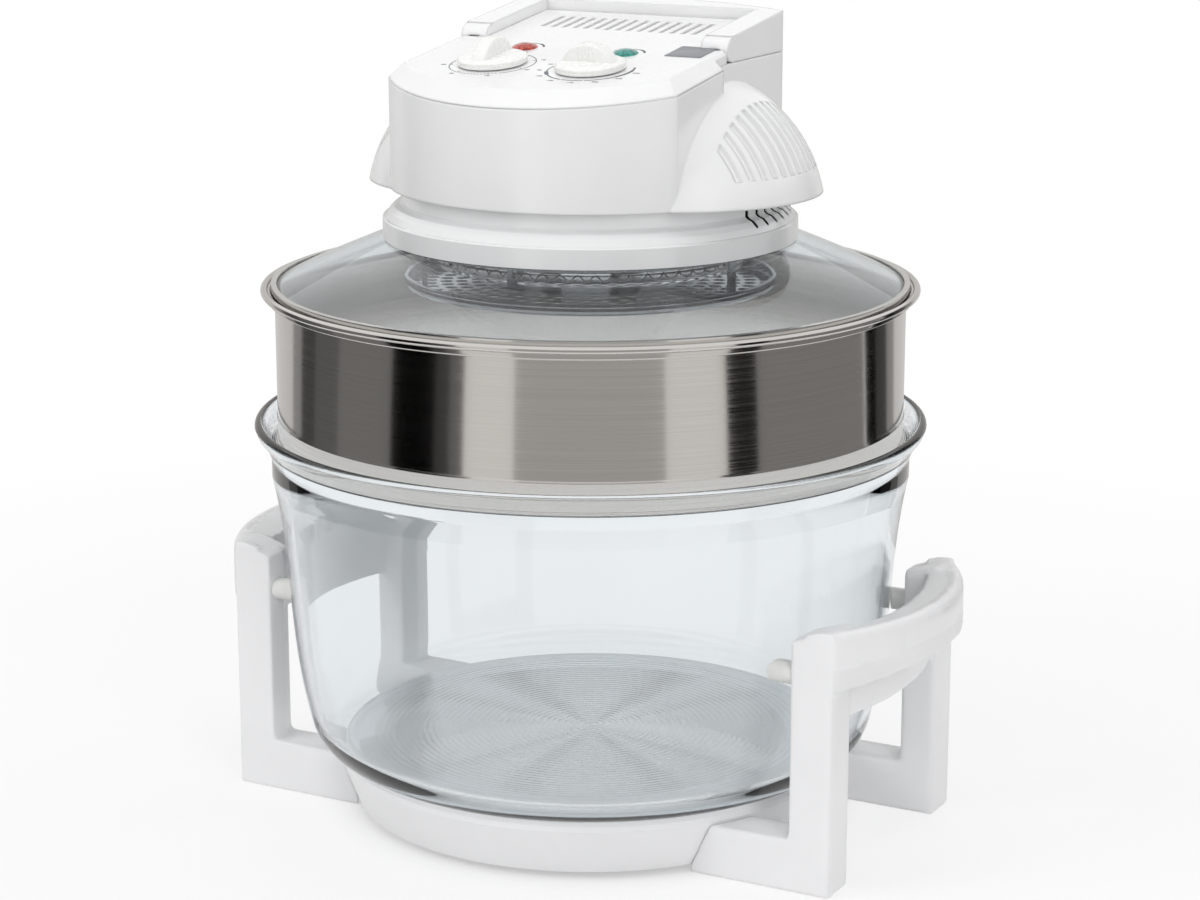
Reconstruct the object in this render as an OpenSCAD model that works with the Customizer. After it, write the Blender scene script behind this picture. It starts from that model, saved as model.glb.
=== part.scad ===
// Halogen oven: a glass bowl in a four-legged stand, a steel extension ring and a lift-off heating lid.
// Millimetres. The origin is on the bowl's axis at table height, +Z is up and the dials face -Y.

/* [Stand] */
// Width of the stand across the outer faces of its posts
stand_w = 334; // [326:1:350]
// Distance between the front and the rear post centres
post_spacing = 125; // [116:1:132]
// Width of a post, seen from the front
post_w = 21.5; // [18:0.5:24]
// Depth of a post, seen from the side
post_d = 22; // [18:0.5:25]
// Height of the posts
post_h = 130; // [118:1:140]
// Height of the low arms that run in to the base ring
arm_h = 26; // [20:0.5:28]
// How far a grip bows out past the posts
grip_bow = 25; // [16:1:32]
// Height of a grip's outer wall at the posts
grip_h = 30; // [22:1:38]
// How far the inner skirt hangs below the top of a grip
skirt_h = 47; // [38:1:56]
// Wall of the moulded grips
grip_wall = 3; // [2:0.25:4]
// Rounding along the top of the grips
grip_round = 5; // [2:0.5:7]

/* [Base ring] */
// Widest diameter of the base ring
base_d = 256; // [250:1:262]
// Diameter of the base ring at its lower edge
base_foot_d = 238; // [230:1:244]
// Diameter of the opening in the base ring
base_open_d = 200; // [180:1:206]
// Height of the base ring
base_h = 27.4; // [24:0.5:32]
// Gap between the table and the base ring
base_gap = 3.6; // [2:0.2:6]
// Wall of the base ring
base_wall = 3; // [2:0.25:4]

/* [Bowl] */
// Height of the bowl from its foot to its rim
bowl_h = 169.5; // [160:1:190]
// Diameter of the flat foot under the bowl
bowl_foot_d = 244; // [236:1:248]
// Diameter of the bowl where its rounded heel ends
bowl_heel_d = 285; // [280:1:288]
// Diameter of the bowl at half height
bowl_belly_d = 302; // [300:1:305]
// Diameter of the straight neck below the rim
bowl_neck_d = 317; // [316:1:319]
// Outer diameter of the rim
bowl_rim_d = 333; // [332:1:337]
// Height of the rounded heel
bowl_heel_h = 19; // [14:1:24]
// Glass thickness of the bowl's side
bowl_wall = 5; // [4:0.25:5.5]
// Glass thickness of the bowl's floor
bowl_floor = 6; // [4:0.25:8]
// Depth from the rim to the ledge that carries the ring
bowl_seat_depth = 10.8; // [9:0.2:13]
// Number of moulded rings on the bowl's floor
floor_rings = 22; // [8:1:24]

/* [Extension ring] */
// Outer diameter of the ring's steel wall
ring_d = 310; // [309:0.5:311]
// Height of the ring
ring_h = 77.3; // [60:1:110]
// Thickness of the steel sheet
sheet = 0.8; // [0.6:0.1:1]
// Outer diameter of the ring's rolled rim
ring_rim_d = 323.8; // [321:0.5:326]
// Radius of the rolled rim
ring_roll_r = 1.8; // [1.2:0.1:2.2]

/* [Lid] */
// Outer diameter of the steel band round the lid
band_d = 313.6; // [312.5:0.2:314]
// Height of the band
band_h = 7.4; // [6:0.2:9]
// Rise of the glass dome from its edge to its central hole
dome_rise = 28; // [22:1:34]
// Glass thickness of the lid
dome_glass = 5; // [4:0.25:5.5]
// Diameter of the central hole in the glass
dome_hole_d = 180; // [178:0.5:183]

/* [Collar] */
// Diameter of the collar's flange
collar_d = 203.4; // [200:0.5:208]
// Height of the collar's flange
collar_h = 10; // [8:0.5:13]
// Diameter of the collar's neck
neck_d = 184.6; // [182.5:0.2:185.5]
// Height of the neck above the flange that shows below the head
neck_show = 14.7; // [13:0.5:18]
// Width of a vent slot in the neck
slot_w = 2.7; // [1.8:0.1:3.4]
// Number of vent slots on each side of the neck
slot_count = 13; // [7:2:17]
// Angle from one vent slot to the next
slot_pitch = 5.7; // [4.5:0.1:6.5]

/* [Head] */
// Width of the front part of the head
head_w = 156; // [152:1:160]
// Width of the rear part of the head
rear_w = 147; // [144:1:149]
// Diameter of the round front wall
head_d = 196; // [194:1:200]
// Depth of the head behind the axis
head_back = 75; // [72:1:80]
// Depth of the head's rear corners behind the axis
back_corner = 62; // [60:1:66]
// Height of the head's side wall at the handle seam
head_h = 62; // [58:0.5:66]
// Height of the control panel above the seam
panel_rise = 6.3; // [5:0.2:8]
// Slope of the control panel, rising to the rear
panel_tilt = 7.8; // [6:0.2:9]
// Wall of the head's mouldings
head_wall = 2.5; // [2:0.25:3]
// Radius of the domed side cowls
cowl_r = 74.2; // [73:0.2:76]
// Number of grooves in each cowl
groove_count = 14; // [6:1:16]
// Distance from one groove to the next
groove_pitch = 6.25; // [5.5:0.25:6.5]
// Width of a groove
groove_w = 3; // [1.5:0.25:3.5]
// Number of vent slits in the top
slit_count = 15; // [7:2:17]
// Distance from one vent slit to the next
slit_pitch = 6; // [5:0.25:6]
// Width of a vent slit
slit_w = 2.2; // [1.2:0.2:3]
// Length of a vent slit
slit_l = 22; // [18:1:28]

/* [Controls] */
// Distance between the two dials
dial_spacing = 53; // [50:1:56]
// Distance of the dials in front of the axis
dial_front = 48; // [46:1:52]
// Diameter of a knob's skirt
knob_d = 34; // [30:1:36]
// Height of a knob's grip
knob_h = 13; // [10:0.5:16]
// Thickness of a knob's grip
grip_fin = 8; // [6:0.5:10]
// Diameter of a control spindle
spindle_d = 6; // [5:0.5:7]
// Diameter of a lamp lens
lens_d = 13; // [10:0.5:15]
// Distance between the two lenses
lens_spacing = 55; // [48:1:60]
// Distance of the lenses in front of the axis
lens_front = 16; // [10:1:18]

/* [Carry handle] */
// Width of a handle arm
arm_w = 14.5; // [13.5:0.5:15]
// Height of the handle above the panel beside it
handle_proud = 5.3; // [4:0.2:7]
// Wall of the handle
handle_wall = 2.4; // [2:0.2:2.8]
// Distance of the handle's pivot behind the axis
pivot_back = 7; // [7:0.5:9]
// Radius of the handle's pivot pins
pin_r = 1.6; // [1.4:0.1:1.8]

/* [Heater] */
// Diameter of the guard dish
dish_d = 182; // [176:1:184]
// Height of the guard dish's rim
dish_h = 5.5; // [4:0.5:8]
// Height of the dish's floor above the lid's lower edge
dish_lift = 3.6; // [2:0.2:6]
// Diameter of the ring that the lamp tube follows
tube_ring_d = 146; // [136:1:150]
// Outer diameter of the lamp tube
tube_d = 8.4; // [7.6:0.2:10]
// Diameter of the holes in the guard plates
hole_d = 6; // [4:0.2:6.4]
// Number of hole rows in a guard plate
hole_rows = 6; // [3:1:7]
// Number of turns in the filament
filament_turns = 48; // [24:2:48]
// Radius of the filament's turns
filament_r = 1.5; // [1:0.1:1.8]
// Radius of the filament's wire
wire_r = 0.4; // [0.3:0.05:0.5]

/* [Fan motor] */
// Diameter of the motor shaft
shaft_d = 5; // [4:0.5:6]
// Diameter of the cooling fan
cool_fan_d = 140; // [100:2:146]
// Diameter of the convection fan
hot_fan_d = 116; // [80:2:130]
// Number of blades on each fan
blade_count = 8; // [4:1:10]
// Diameter of the rotor
rotor_d = 24; // [20:1:28]
// Height of the motor's iron stack
stack_h = 18; // [14:1:22]

/* [Hidden] */
$fn = 96;

// General clearances
gap = 0.3;
run_gap = 0.05;
over = 1;
far = 400;

// Stand
post_out = stand_w / 2;
post_in = post_out - post_w;
post_y = post_spacing / 2;
side_y = post_y + post_d / 2;
post_clear_r = bowl_neck_d / 2 - 0.5;
grip_x = post_out + grip_bow;
grip_run = side_y * side_y;
grip_arc_r = (grip_run + grip_bow * grip_bow) / (2 * grip_bow);
grip_inner_r = bowl_neck_d / 2 + 10.5;
grip_lift = 6;
grip_arch_r = (grip_run + grip_lift * grip_lift) / (2 * grip_lift);
grip_top = post_h - 0.5;
post_slope = 17;
tongue_w = 14;
tongue_h = 8;
tongue_z = base_gap + 6;
base_top = base_gap + base_h;
screw_inset = 7;
screw_ring_r = base_open_d / 2 + base_wall + screw_inset;
screw_x = sqrt(screw_ring_r * screw_ring_r - post_y * post_y);
screw_r = 1.7;
head_sink = 2.5;
boss_r = 4;
pad_r = 5.5;
pad_z = 106;
pad_y = post_y + 4.2;
pad_gap = 0.4;

// Bowl heights and radii
bowl_z = base_top;
rim_z = bowl_z + bowl_h;
rim_bead = 2.5;
neck_top_z = rim_z - 17.7;
neck_low_z = rim_z - 27.5;
heel_z = bowl_z + bowl_heel_h;
seat_z = rim_z - bowl_seat_depth;
neck_in_r = bowl_neck_d / 2 - bowl_wall;
mouth_r = ring_d / 2 + 2.6;
heel_arc = 78;
belly_share = 0.57;
ripple = 0.5;

// Ring heights
ring_z = seat_z + gap;
ring_top = ring_z + ring_h;
ledge_z = ring_top - ring_roll_r * 2 - 3.1;
curl_r = 1.3;

// Lid heights and the glass surface
band_z = ledge_z + sheet;
band_top = band_z + band_h;
band_in = band_d / 2 - sheet;
glass_edge_r = band_in - 0.6;
glass_edge_z = band_top - sheet - 0.8;
glass_drop = dome_glass * 1.08;
crown = 0.06;

function dome_t(r) = (glass_edge_r - r) / (glass_edge_r - dome_hole_d / 2);
function dome_z(r) = glass_edge_z + dome_rise * (dome_t(r) + crown * dome_t(r) * (1 - dome_t(r)));

// Collar and head heights
collar_z = dome_z(collar_d / 2) + gap;
flange_top = collar_z + collar_h;
floor_z = dome_z(dome_hole_d / 2 + 1) + 2.2;
floor_t = 3;
floor_open_r = 78.5;
head_z = flange_top + neck_show;
neck_top = head_z + 6;
neck_r = neck_d / 2;
neck_wall = 2.5;
neck_gap = 0.3;
seam_z = head_z + head_h;
edge_tilt = panel_tilt + 0.5;
panel_z = seam_z + panel_rise;
front_r = head_d / 2;
back_r = (rear_w * rear_w / 4 + pow(head_back - back_corner, 2)) / (2 * (head_back - back_corner));
chamfer_in = 10;
step_y = -12;
centre_w = rear_w - 2 * arm_w - 0.6;
centre_back = back_corner - 1.5;
cowl_x = 43.6;
cowl_y = 2.9;
cowl_z = head_z - 14.4;
groove_d = 1.5;
groove_x = head_w / 2 + 10.3;
groove_z = head_z + 12.5;
apron_r = front_r;
apron_h = 7;
apron_slope = 18;
shelf_t = 2.2;
shelf_gap = 0.2;
cover_boss_x = rear_w / 2 - head_wall - 5.5;
cover_boss_y = 50;
front_boss_x = head_w / 2 - head_wall - 5.5;
front_boss_y = -48;
cover_boss_r = 3.6;
boss_z = seam_z - 16;
lug_t = 4;
inlet_x = -38;
inlet_z = head_z + 34;
inlet_r = 6;
slit_y = 38;
pin_len = arm_w - 2.4;
corner_r = neck_r - neck_wall - 7.3;

// Controls in the panel's own sloping frame
panel_t = head_wall;
dial_gap = 0.6;
skirt_t = 4;
unit_gap = 0.2;
spindle_depth = 16;
timer_case = [38, 34, 24];
heat_case = [34, 28, 21];

// Carry handle
pivot_r = 5.9;
pivot_z = seam_z + gap + pivot_r - 0.2;
arm_x = rear_w / 2 - arm_w;
lug_w = 5;
lug_x = arm_x + arm_w / 2;
lug_r = 3.2;
lug_d = 5.6;
handle_top_z = panel_z + handle_proud;
plunger_r = 1.9;
plunger_y = 24;
plunger_travel = 3;

// Heater
dish_z = band_z + dish_lift;
dish_sheet = 0.8;
dish_roll = 1;
grille_z = dome_z(dome_hole_d / 2) - glass_drop - 4.6;
shield_r = dome_hole_d / 2 - 3.2;
shield_low = grille_z + dish_sheet;
tube_z = (dish_z + grille_z) / 2 + 4;
tube_sweep = 330;
tube_start = 133.8;
end_sleeve = 7;
end_angle = end_sleeve / (PI * tube_ring_d) * 360;
lamp_end_r = 4;
hole_pitch = 8.7;
hole_ring_gap = 7.6;
strap_w = 5.5;
strap_t = 1.2;
strap_angles = [110, 230, 350];
plate_r = dish_d / 2 - 5;

// Motor
hot_fan_z = grille_z + dish_sheet + 2.4;
hot_fan_h = 7;
cool_fan_z = floor_z + floor_t + 3;
cool_fan_h = 8;
bridge_z = neck_top - 3;
bridge_t = 1.6;
bridge_w = 26;
bridge_r = neck_r - neck_wall - 2.4;
stack_w = 62;
stack_d = 50;
stack_y = 4;
bracket_t = 1.5;
bracket_rise = 7;
bush_r = 5;
coil_x = 19;
motor_z = bridge_z + bridge_t + bracket_rise;
shaft_top = motor_z + stack_h + 17;
window_y = -stack_d / 2 + stack_y + 34;
window_d = 6;

// Frames that several pieces share

// The panel's own frame at a place on the panel: its Z axis stands square to the sloping surface
module on_panel(x, y) {
    translate([x, y, panel_z + y * tan(panel_tilt)])
        rotate([panel_tilt, 0, 0])
            children();
}

// Everything below a plane that rises to the rear
module below_plane(z, tilt) {
    translate([0, 0, z])
        rotate([tilt, 0, 0])
            translate([-far, -far, -far])
                cube([2 * far, 2 * far, far]);
}

// Each of the four places that mirror one another across X and Y
module four_ways() {
    for (sx = [-1, 1]) {
        for (sy = [-1, 1]) {
            scale_flip(sx, sy) children();
        }
    }
}

module scale_flip(sx, sy) {
    mirror([sx < 0 ? 1 : 0, 0, 0])
        mirror([0, sy < 0 ? 1 : 0, 0])
            children();
}

// A revolved tube between two radii and two heights
module ring_band(r_in, r_out, z_low, z_high) {
    rotate_extrude()
        translate([min(r_in, r_out), z_low])
            square([abs(r_out - r_in), z_high - z_low]);
}

module torus(r, minor, z) {
    rotate_extrude()
        translate([r, z])
            circle(r = minor, $fn = 32);
}

// A pan-head screw whose head points down and whose shank rises
module screw_up(r, length) {
    cylinder(r = r * 2, h = 2);
    translate([0, 0, 2])
        cylinder(r = r, h = length);
}

// Stand

module base_ring() {
    color("white")
        difference() {
            rotate_extrude()
                polygon([
                    [base_open_d / 2, base_gap],
                    [base_foot_d / 2, base_gap],
                    [base_d / 2, base_top - 4],
                    [base_d / 2 - 0.5, base_top - 1.5],
                    [base_d / 2 - 2, base_top],
                    [base_open_d / 2, base_top]
                ]);
            difference() {
                rotate_extrude()
                    polygon([
                        [base_open_d / 2 + base_wall, base_gap - over],
                        [base_foot_d / 2 - base_wall, base_gap - over],
                        [base_d / 2 - base_wall - 1, base_top - base_wall],
                        [base_open_d / 2 + base_wall, base_top - base_wall]
                    ]);
                four_ways()
                    translate([screw_x, post_y, tongue_z + tongue_h + gap])
                        cylinder(r = boss_r, h = far);
            }
            difference() {
                four_ways()
                    translate([screw_x - tongue_w / 2 - over, post_y - tongue_w / 2 - gap, base_gap - over])
                        cube([far, tongue_w + 2 * gap, tongue_z + tongue_h + gap - base_gap + over]);
                cylinder(r = base_open_d / 2 + base_wall, h = far);
            }
            four_ways()
                translate([screw_x, post_y, 0])
                    cylinder(r = screw_r + run_gap, h = base_top - base_wall);
        }
}

// The outside of the base ring, grown by a clearance, for what butts against it
module base_outline(grow) {
    rotate_extrude()
        polygon([
            [0, -over],
            [base_foot_d / 2 + grow, -over],
            [base_foot_d / 2 + grow, base_gap],
            [base_d / 2 + grow, base_top - 4],
            [base_d / 2 + grow, far],
            [0, far]
        ]);
}

// The low arm and the upright post at one end of a grip, with the tongue that the screw holds
module arm_and_post(sy) {
    mirror([0, sy < 0 ? 1 : 0, 0])
        difference() {
            union() {
                difference() {
                    union() {
                        translate([0, post_y - post_d / 2, 0])
                            cube([post_out, post_d, arm_h]);
                        translate([post_in, post_y - post_d / 2, 0])
                            cube([post_w, post_d, post_h]);
                    }
                    base_outline(gap);
                    translate([0, 0, arm_h])
                        cylinder(r = post_clear_r, h = far);
                    translate([post_out, 0, post_h])
                        rotate([0, -post_slope, 0])
                            translate([-far, 0, 0])
                                cube([far + over, far, far]);
                }
                difference() {
                    intersection() {
                        translate([screw_x - tongue_w / 2, post_y - tongue_w / 2, tongue_z])
                            cube([far, tongue_w, tongue_h]);
                        cylinder(r = base_d / 2 + 2, h = far);
                    }
                    cylinder(r = base_open_d / 2 + base_wall + gap, h = far);
                }
            }
            translate([screw_x, post_y, 0])
                cylinder(r = screw_r + gap, h = base_top);
            translate([screw_x, post_y, 0])
                cylinder(r = screw_r * 2 + gap, h = tongue_z + head_sink);
        }
}

// The bowed grip between the two posts, hollow from below
module grip_bar() {
    arc_x = grip_x - grip_arc_r;
    low_z = post_h - grip_h;
    difference() {
        intersection() {
            translate([arc_x, 0, 0])
                rotate_extrude()
                    polygon(concat(
                        [[0, low_z], [grip_arc_r, low_z]],
                        [for (a = [0 : 15 : 90])
                            [grip_arc_r - grip_round * (1 - cos(a)),
                             grip_top - grip_round * (1 - sin(a))]],
                        [[0, grip_top - (grip_arc_r - grip_round) * tan(post_slope)]]
                    ));
            translate([post_in, -side_y, 0])
                cube([far, 2 * side_y, far]);
        }
        cylinder(r = grip_inner_r, h = far);
        difference() {
            translate([arc_x, 0, 0])
                rotate_extrude()
                    polygon([
                        [0, 0],
                        [grip_arc_r - grip_wall, 0],
                        [grip_arc_r - grip_wall, grip_top - grip_wall - grip_round / 2],
                        [0, grip_top - grip_wall - grip_arc_r * tan(post_slope)]
                    ]);
            cylinder(r = grip_inner_r + grip_wall, h = far);
        }
        translate([0, 0, low_z + grip_lift - grip_arch_r])
            rotate([0, 90, 0])
                cylinder(r = grip_arch_r, h = far, $fn = 180);
    }
    difference() {
        intersection() {
            ring_band(grip_inner_r, grip_inner_r + grip_wall, grip_top - skirt_h, grip_top - 9);
            translate([post_in, -side_y + 2, 0])
                cube([far, 2 * side_y - 4, far]);
            translate([arc_x, 0, 0])
                cylinder(r = grip_arc_r - over, h = far);
        }
        translate([0, -far, 0])
            cube([far, far - side_y + over, far]);
    }
}

module stand_handle() {
    color("white")
        difference() {
            union() {
                arm_and_post(1);
                arm_and_post(-1);
                grip_bar();
            }
            for (sy = [-1, 1]) {
                translate([post_in - over, sy * pad_y, pad_z])
                    rotate([0, 90, 0])
                        cylinder(r = screw_r, h = post_w * 0.6);
            }
        }
}

module right_handle() {
    stand_handle();
}

module left_handle() {
    mirror([1, 0, 0])
        stand_handle();
}

module handle_screws() {
    color("silver")
        four_ways()
            translate([screw_x, post_y, tongue_z + 0.4])
                screw_up(screw_r, base_top - base_wall - tongue_z - 4);
}

// Four soft pads that keep the glass off the posts
module bumper_pads() {
    color("whitesmoke")
        four_ways()
            difference() {
                translate([0, pad_y, pad_z])
                    rotate([0, 90, 0])
                        cylinder(r = pad_r, h = post_in);
                cylinder(r = bowl_r(pad_z + pad_r) + pad_gap, h = far);
                translate([0, pad_y, pad_z])
                    rotate([0, 90, 0])
                        cylinder(r = screw_r + run_gap, h = far);
                translate([0, pad_y, pad_z])
                    rotate([0, 90, 0])
                        cylinder(r = screw_r * 2 + gap, h = post_in - 3);
            }
}

module pad_screws() {
    color("dimgray")
        four_ways()
            translate([post_in - 5, pad_y, pad_z])
                rotate([0, 90, 0])
                    screw_up(screw_r - run_gap, post_w * 0.6);
}

// Bowl

function wall_mix(t, heel, belly, neck) = belly
    + belly_share * (neck - heel) / 2 * t
    + ((neck + heel) / 2 - belly) * t * t
    + (1 - belly_share) * (neck - heel) / 2 * t * t * t;

function wall_t(z) = (2 * z - heel_z - neck_low_z) / (neck_low_z - heel_z);

function bowl_r(z) = wall_mix(wall_t(z), bowl_heel_d / 2, bowl_belly_d / 2, bowl_neck_d / 2);

// The side of the bowl as seen in section, set in from the outside by one wall
function bowl_side(inset) = [
    for (i = [0 : 10])
        [bowl_r(heel_z + (neck_low_z - heel_z) * i / 10) - inset,
         heel_z + (neck_low_z - heel_z) * i / 10]
];

// The rounded heel between the foot and the side
function bowl_heel(inset, low) = [
    for (a = [0 : heel_arc / 6 : heel_arc - 1])
        [bowl_foot_d / 2 - inset
            + (bowl_heel_d - bowl_foot_d) / 2 * sin(a) / sin(heel_arc),
         low + (heel_z - low) * (1 - cos(a)) / (1 - cos(heel_arc))]
];

function reversed(list) = [for (i = [len(list) - 1 : -1 : 0]) list[i]];

module glass_bowl() {
    ring_step = (bowl_foot_d / 2 - 14) / floor_rings;
    floor_top = bowl_z + bowl_floor;
    color("azure", 0.35)
        rotate_extrude($fn = 180)
            polygon(concat(
                [[0, bowl_z]],
                bowl_heel(0, bowl_z),
                bowl_side(0),
                [
                    [bowl_neck_d / 2, neck_top_z],
                    [bowl_neck_d / 2 + 2.8, seat_z + 0.3],
                    [bowl_rim_d / 2 - 1.5, rim_z - 6]
                ],
                [for (a = [0 : 20 : 180])
                    [bowl_rim_d / 2 - rim_bead + rim_bead * cos(a), rim_z - rim_bead + rim_bead * sin(a)]],
                [
                    [mouth_r, seat_z + 1.3],
                    [mouth_r - 0.4, seat_z],
                    [neck_in_r + 0.6, seat_z],
                    [neck_in_r, seat_z - 0.8]
                ],
                reversed(bowl_side(bowl_wall)),
                reversed(bowl_heel(bowl_wall, floor_top)),
                [for (i = [0 : floor_rings - 1])
                    each [
                        [bowl_foot_d / 2 - 12 - ring_step * i, floor_top + ripple],
                        [bowl_foot_d / 2 - 12 - ring_step * (i + 0.5), floor_top]
                    ]],
                [[0, floor_top]]
            ));
}

// Extension ring

module extension_ring() {
    wall_r = ring_d / 2;
    color("silver")
        union() {
            ring_band(wall_r - sheet, wall_r, ring_z + curl_r, ledge_z + sheet);
            torus(wall_r + 0.1, curl_r, ring_z + curl_r);
            torus(wall_r - 0.1, 0.6, ring_z + 13.4);
            ring_band(wall_r - sheet, ring_rim_d / 2 - 2 * ring_roll_r, ledge_z, ledge_z + sheet);
            ring_band(
                ring_rim_d / 2 - 2 * ring_roll_r - sheet, ring_rim_d / 2 - 2 * ring_roll_r,
                ledge_z, ring_top - ring_roll_r
            );
            torus(ring_rim_d / 2 - ring_roll_r - sheet / 2, ring_roll_r, ring_top - ring_roll_r);
        }
}

// Lid

module lid_glass() {
    steps = 6;
    hole_r = dome_hole_d / 2;
    color("azure", 0.35)
        rotate_extrude($fn = 180)
            polygon(concat(
                [[glass_edge_r - 2, band_z + sheet], [glass_edge_r, band_z + sheet]],
                [for (i = [0 : steps])
                    [glass_edge_r + (hole_r - glass_edge_r) * i / steps,
                     dome_z(glass_edge_r + (hole_r - glass_edge_r) * i / steps)]],
                [for (i = [steps : -1 : 1])
                    [glass_edge_r + (hole_r - glass_edge_r) * i / steps,
                     dome_z(glass_edge_r + (hole_r - glass_edge_r) * i / steps) - glass_drop]]
            ));
}

module lid_band() {
    color("silver")
        union() {
            ring_band(band_in, band_d / 2, band_z, band_top);
            ring_band(band_in - 6, band_d / 2, band_z, band_z + sheet);
            ring_band(band_in - 2, band_d / 2, band_top - sheet, band_top);
        }
}

module lid_gasket() {
    r_in = dome_hole_d / 2 + 1;
    r_out = r_in + 6;
    color("darkgray")
        rotate_extrude()
            polygon([
                [r_in, dome_z(r_in) + run_gap],
                [r_out, dome_z(r_out) + run_gap],
                [r_out, floor_z],
                [r_in, floor_z]
            ]);
}

// The steel ring that draws the glass up against the collar
module clamp_ring() {
    r_in = shield_r + 0.3;
    r_out = dome_hole_d / 2 + 6;
    top_in = dome_z(dome_hole_d / 2 + 0.5) - glass_drop - 0.1;
    top_out = dome_z(r_out) - glass_drop - 0.1;
    color("silver")
        rotate_extrude()
            polygon([
                [r_in, grille_z],
                [r_in + 1, grille_z],
                [r_in + 1, top_in - 1.2],
                [r_out, top_out - 1.2],
                [r_out, top_out],
                [r_in + 1.4, top_in],
                [r_in, top_in]
            ]);
}

module vent_slot() {
    low = flange_top + 3.6;
    translate([neck_r - 8, -slot_w / 2, low])
        cube([18, slot_w, far]);
    translate([neck_r - 8, 0, low])
        rotate([0, 90, 0])
            cylinder(r = slot_w / 2, h = 18);
}

module collar() {
    flange_r = collar_d / 2;
    in_r = neck_r - neck_wall;
    color("white")
        difference() {
            union() {
                rotate_extrude($fn = 180)
                    polygon([
                        [floor_open_r, floor_z],
                        [flange_r - neck_wall, floor_z],
                        [flange_r - neck_wall, dome_z(flange_r - neck_wall) + gap],
                        [flange_r, collar_z],
                        [flange_r, flange_top - 0.6],
                        [flange_r - 0.6, flange_top],
                        [flange_r - 1.7, flange_top + 0.2],
                        [neck_r + 6, flange_top + 3.1],
                        [neck_r + 3.6, flange_top + 5.4],
                        [neck_r + 1.1, flange_top + 6.3],
                        [neck_r, flange_top + 7.3],
                        [neck_r, neck_top],
                        [in_r, neck_top],
                        [in_r, floor_z + floor_t],
                        [floor_open_r, floor_z + floor_t]
                    ]);
                for (a = [45 : 90 : 315]) {
                    rotate(a)
                        translate([corner_r, 0, floor_z + floor_t - over])
                            cylinder(r = 4.5, h = neck_top - floor_z - floor_t + over);
                }
            }
            for (side = [0, 180]) {
                for (i = [0 : slot_count - 1]) {
                    rotate(side + (side == 0 ? 1 : -1) * ((i - (slot_count - 1) / 2) * slot_pitch + 26))
                        vent_slot();
                }
            }
            for (a = [45 : 90 : 315]) {
                rotate(a)
                    translate([corner_r, 0, 0])
                        cylinder(r = screw_r + gap, h = far);
            }
        }
}

// Head

// The outline of the head seen from above, set in by one wall where needed
module front_plan(inset) {
    intersection() {
        circle(r = front_r - inset, $fn = 180);
        translate([-head_w / 2 + inset, -far])
            square([head_w - 2 * inset, far + step_y - inset]);
    }
}

module rear_plan(inset) {
    intersection() {
        translate([0, head_back - back_r])
            circle(r = back_r - inset, $fn = 180);
        translate([-rear_w / 2 + inset, step_y - 20])
            square([rear_w - 2 * inset, far]);
    }
}

module head_plan(inset) {
    front_plan(inset);
    rear_plan(inset);
}

// The two domes at the sides
module cowls(inset) {
    for (sx = [-1, 1]) {
        translate([sx * cowl_x, cowl_y, cowl_z])
            sphere(r = cowl_r - inset, $fn = 96);
    }
}

// The round skirt that covers the neck behind the head
module apron(inset) {
    z_mid = head_z + apron_h;
    rotate_extrude($fn = 180)
        polygon([
            [0, head_z],
            [apron_r - inset, head_z],
            [apron_r - inset, z_mid - inset / 2],
            [apron_r - 24 - inset, z_mid + apron_slope - inset],
            [0, z_mid + apron_slope - inset]
        ]);
}

module housing_form(inset, low) {
    intersection() {
        union() {
            intersection() {
                linear_extrude(seam_z + over)
                    front_plan(inset);
                below_plane(seam_z, edge_tilt);
            }
            linear_extrude(seam_z)
                rear_plan(inset);
            cowls(inset);
            apron(inset);
        }
        translate([-far, -far, low])
            cube([2 * far, 2 * far, far]);
        translate([-far, -far, 0])
            cube([2 * far, 2 * far, seam_z]);
        union() {
            below_plane(seam_z, edge_tilt);
            translate([-far, 0, 0])
                cube([2 * far, far, far]);
        }
    }
}

// The slots moulded into the cowls
module cowl_grooves() {
    for (sx = [-1, 1]) {
        difference() {
            for (i = [0 : groove_count - 1]) {
                translate([
                    sx > 0 ? groove_x : -groove_x - far,
                    cowl_y + (i - (groove_count - 1) / 2) * groove_pitch - groove_w / 2,
                    groove_z
                ])
                    cube([far, groove_w, far]);
            }
            translate([sx * cowl_x, cowl_y, cowl_z])
                sphere(r = cowl_r - groove_d, $fn = 96);
        }
    }
}

module boss_places() {
    for (sx = [-1, 1]) {
        mirror([sx < 0 ? 1 : 0, 0, 0]) {
            translate([cover_boss_x, cover_boss_y, 0])
                children();
            translate([front_boss_x, front_boss_y, 0])
                children();
        }
    }
}

module lower_housing() {
    floor_top = head_z + head_wall;
    color("white")
        difference() {
            union() {
                difference() {
                    housing_form(0, head_z);
                    difference() {
                        union() {
                            housing_form(head_wall, floor_top);
                            translate([0, 0, seam_z - 20])
                                linear_extrude(60)
                                    head_plan(head_wall);
                        }
                        boss_places()
                            translate([-6, -5, boss_z - lug_t])
                                cube([14, 10, lug_t]);
                    }
                    cylinder(r = neck_r + neck_gap, h = neck_top + gap);
                    cowl_grooves();
                }
                for (a = [45 : 90 : 315]) {
                    rotate(a)
                        corner_boss();
                }
            }
            for (a = [45 : 90 : 315]) {
                rotate(a)
                    translate([corner_r, 0, 0])
                        cylinder(r = screw_r + run_gap, h = neck_top + 10);
            }
            boss_places()
                cylinder(r = screw_r + gap, h = far);
            translate([inlet_x, 0, inlet_z])
                rotate([-90, 0, 0])
                    cylinder(r = inlet_r + run_gap, h = far);
        }
}

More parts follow.
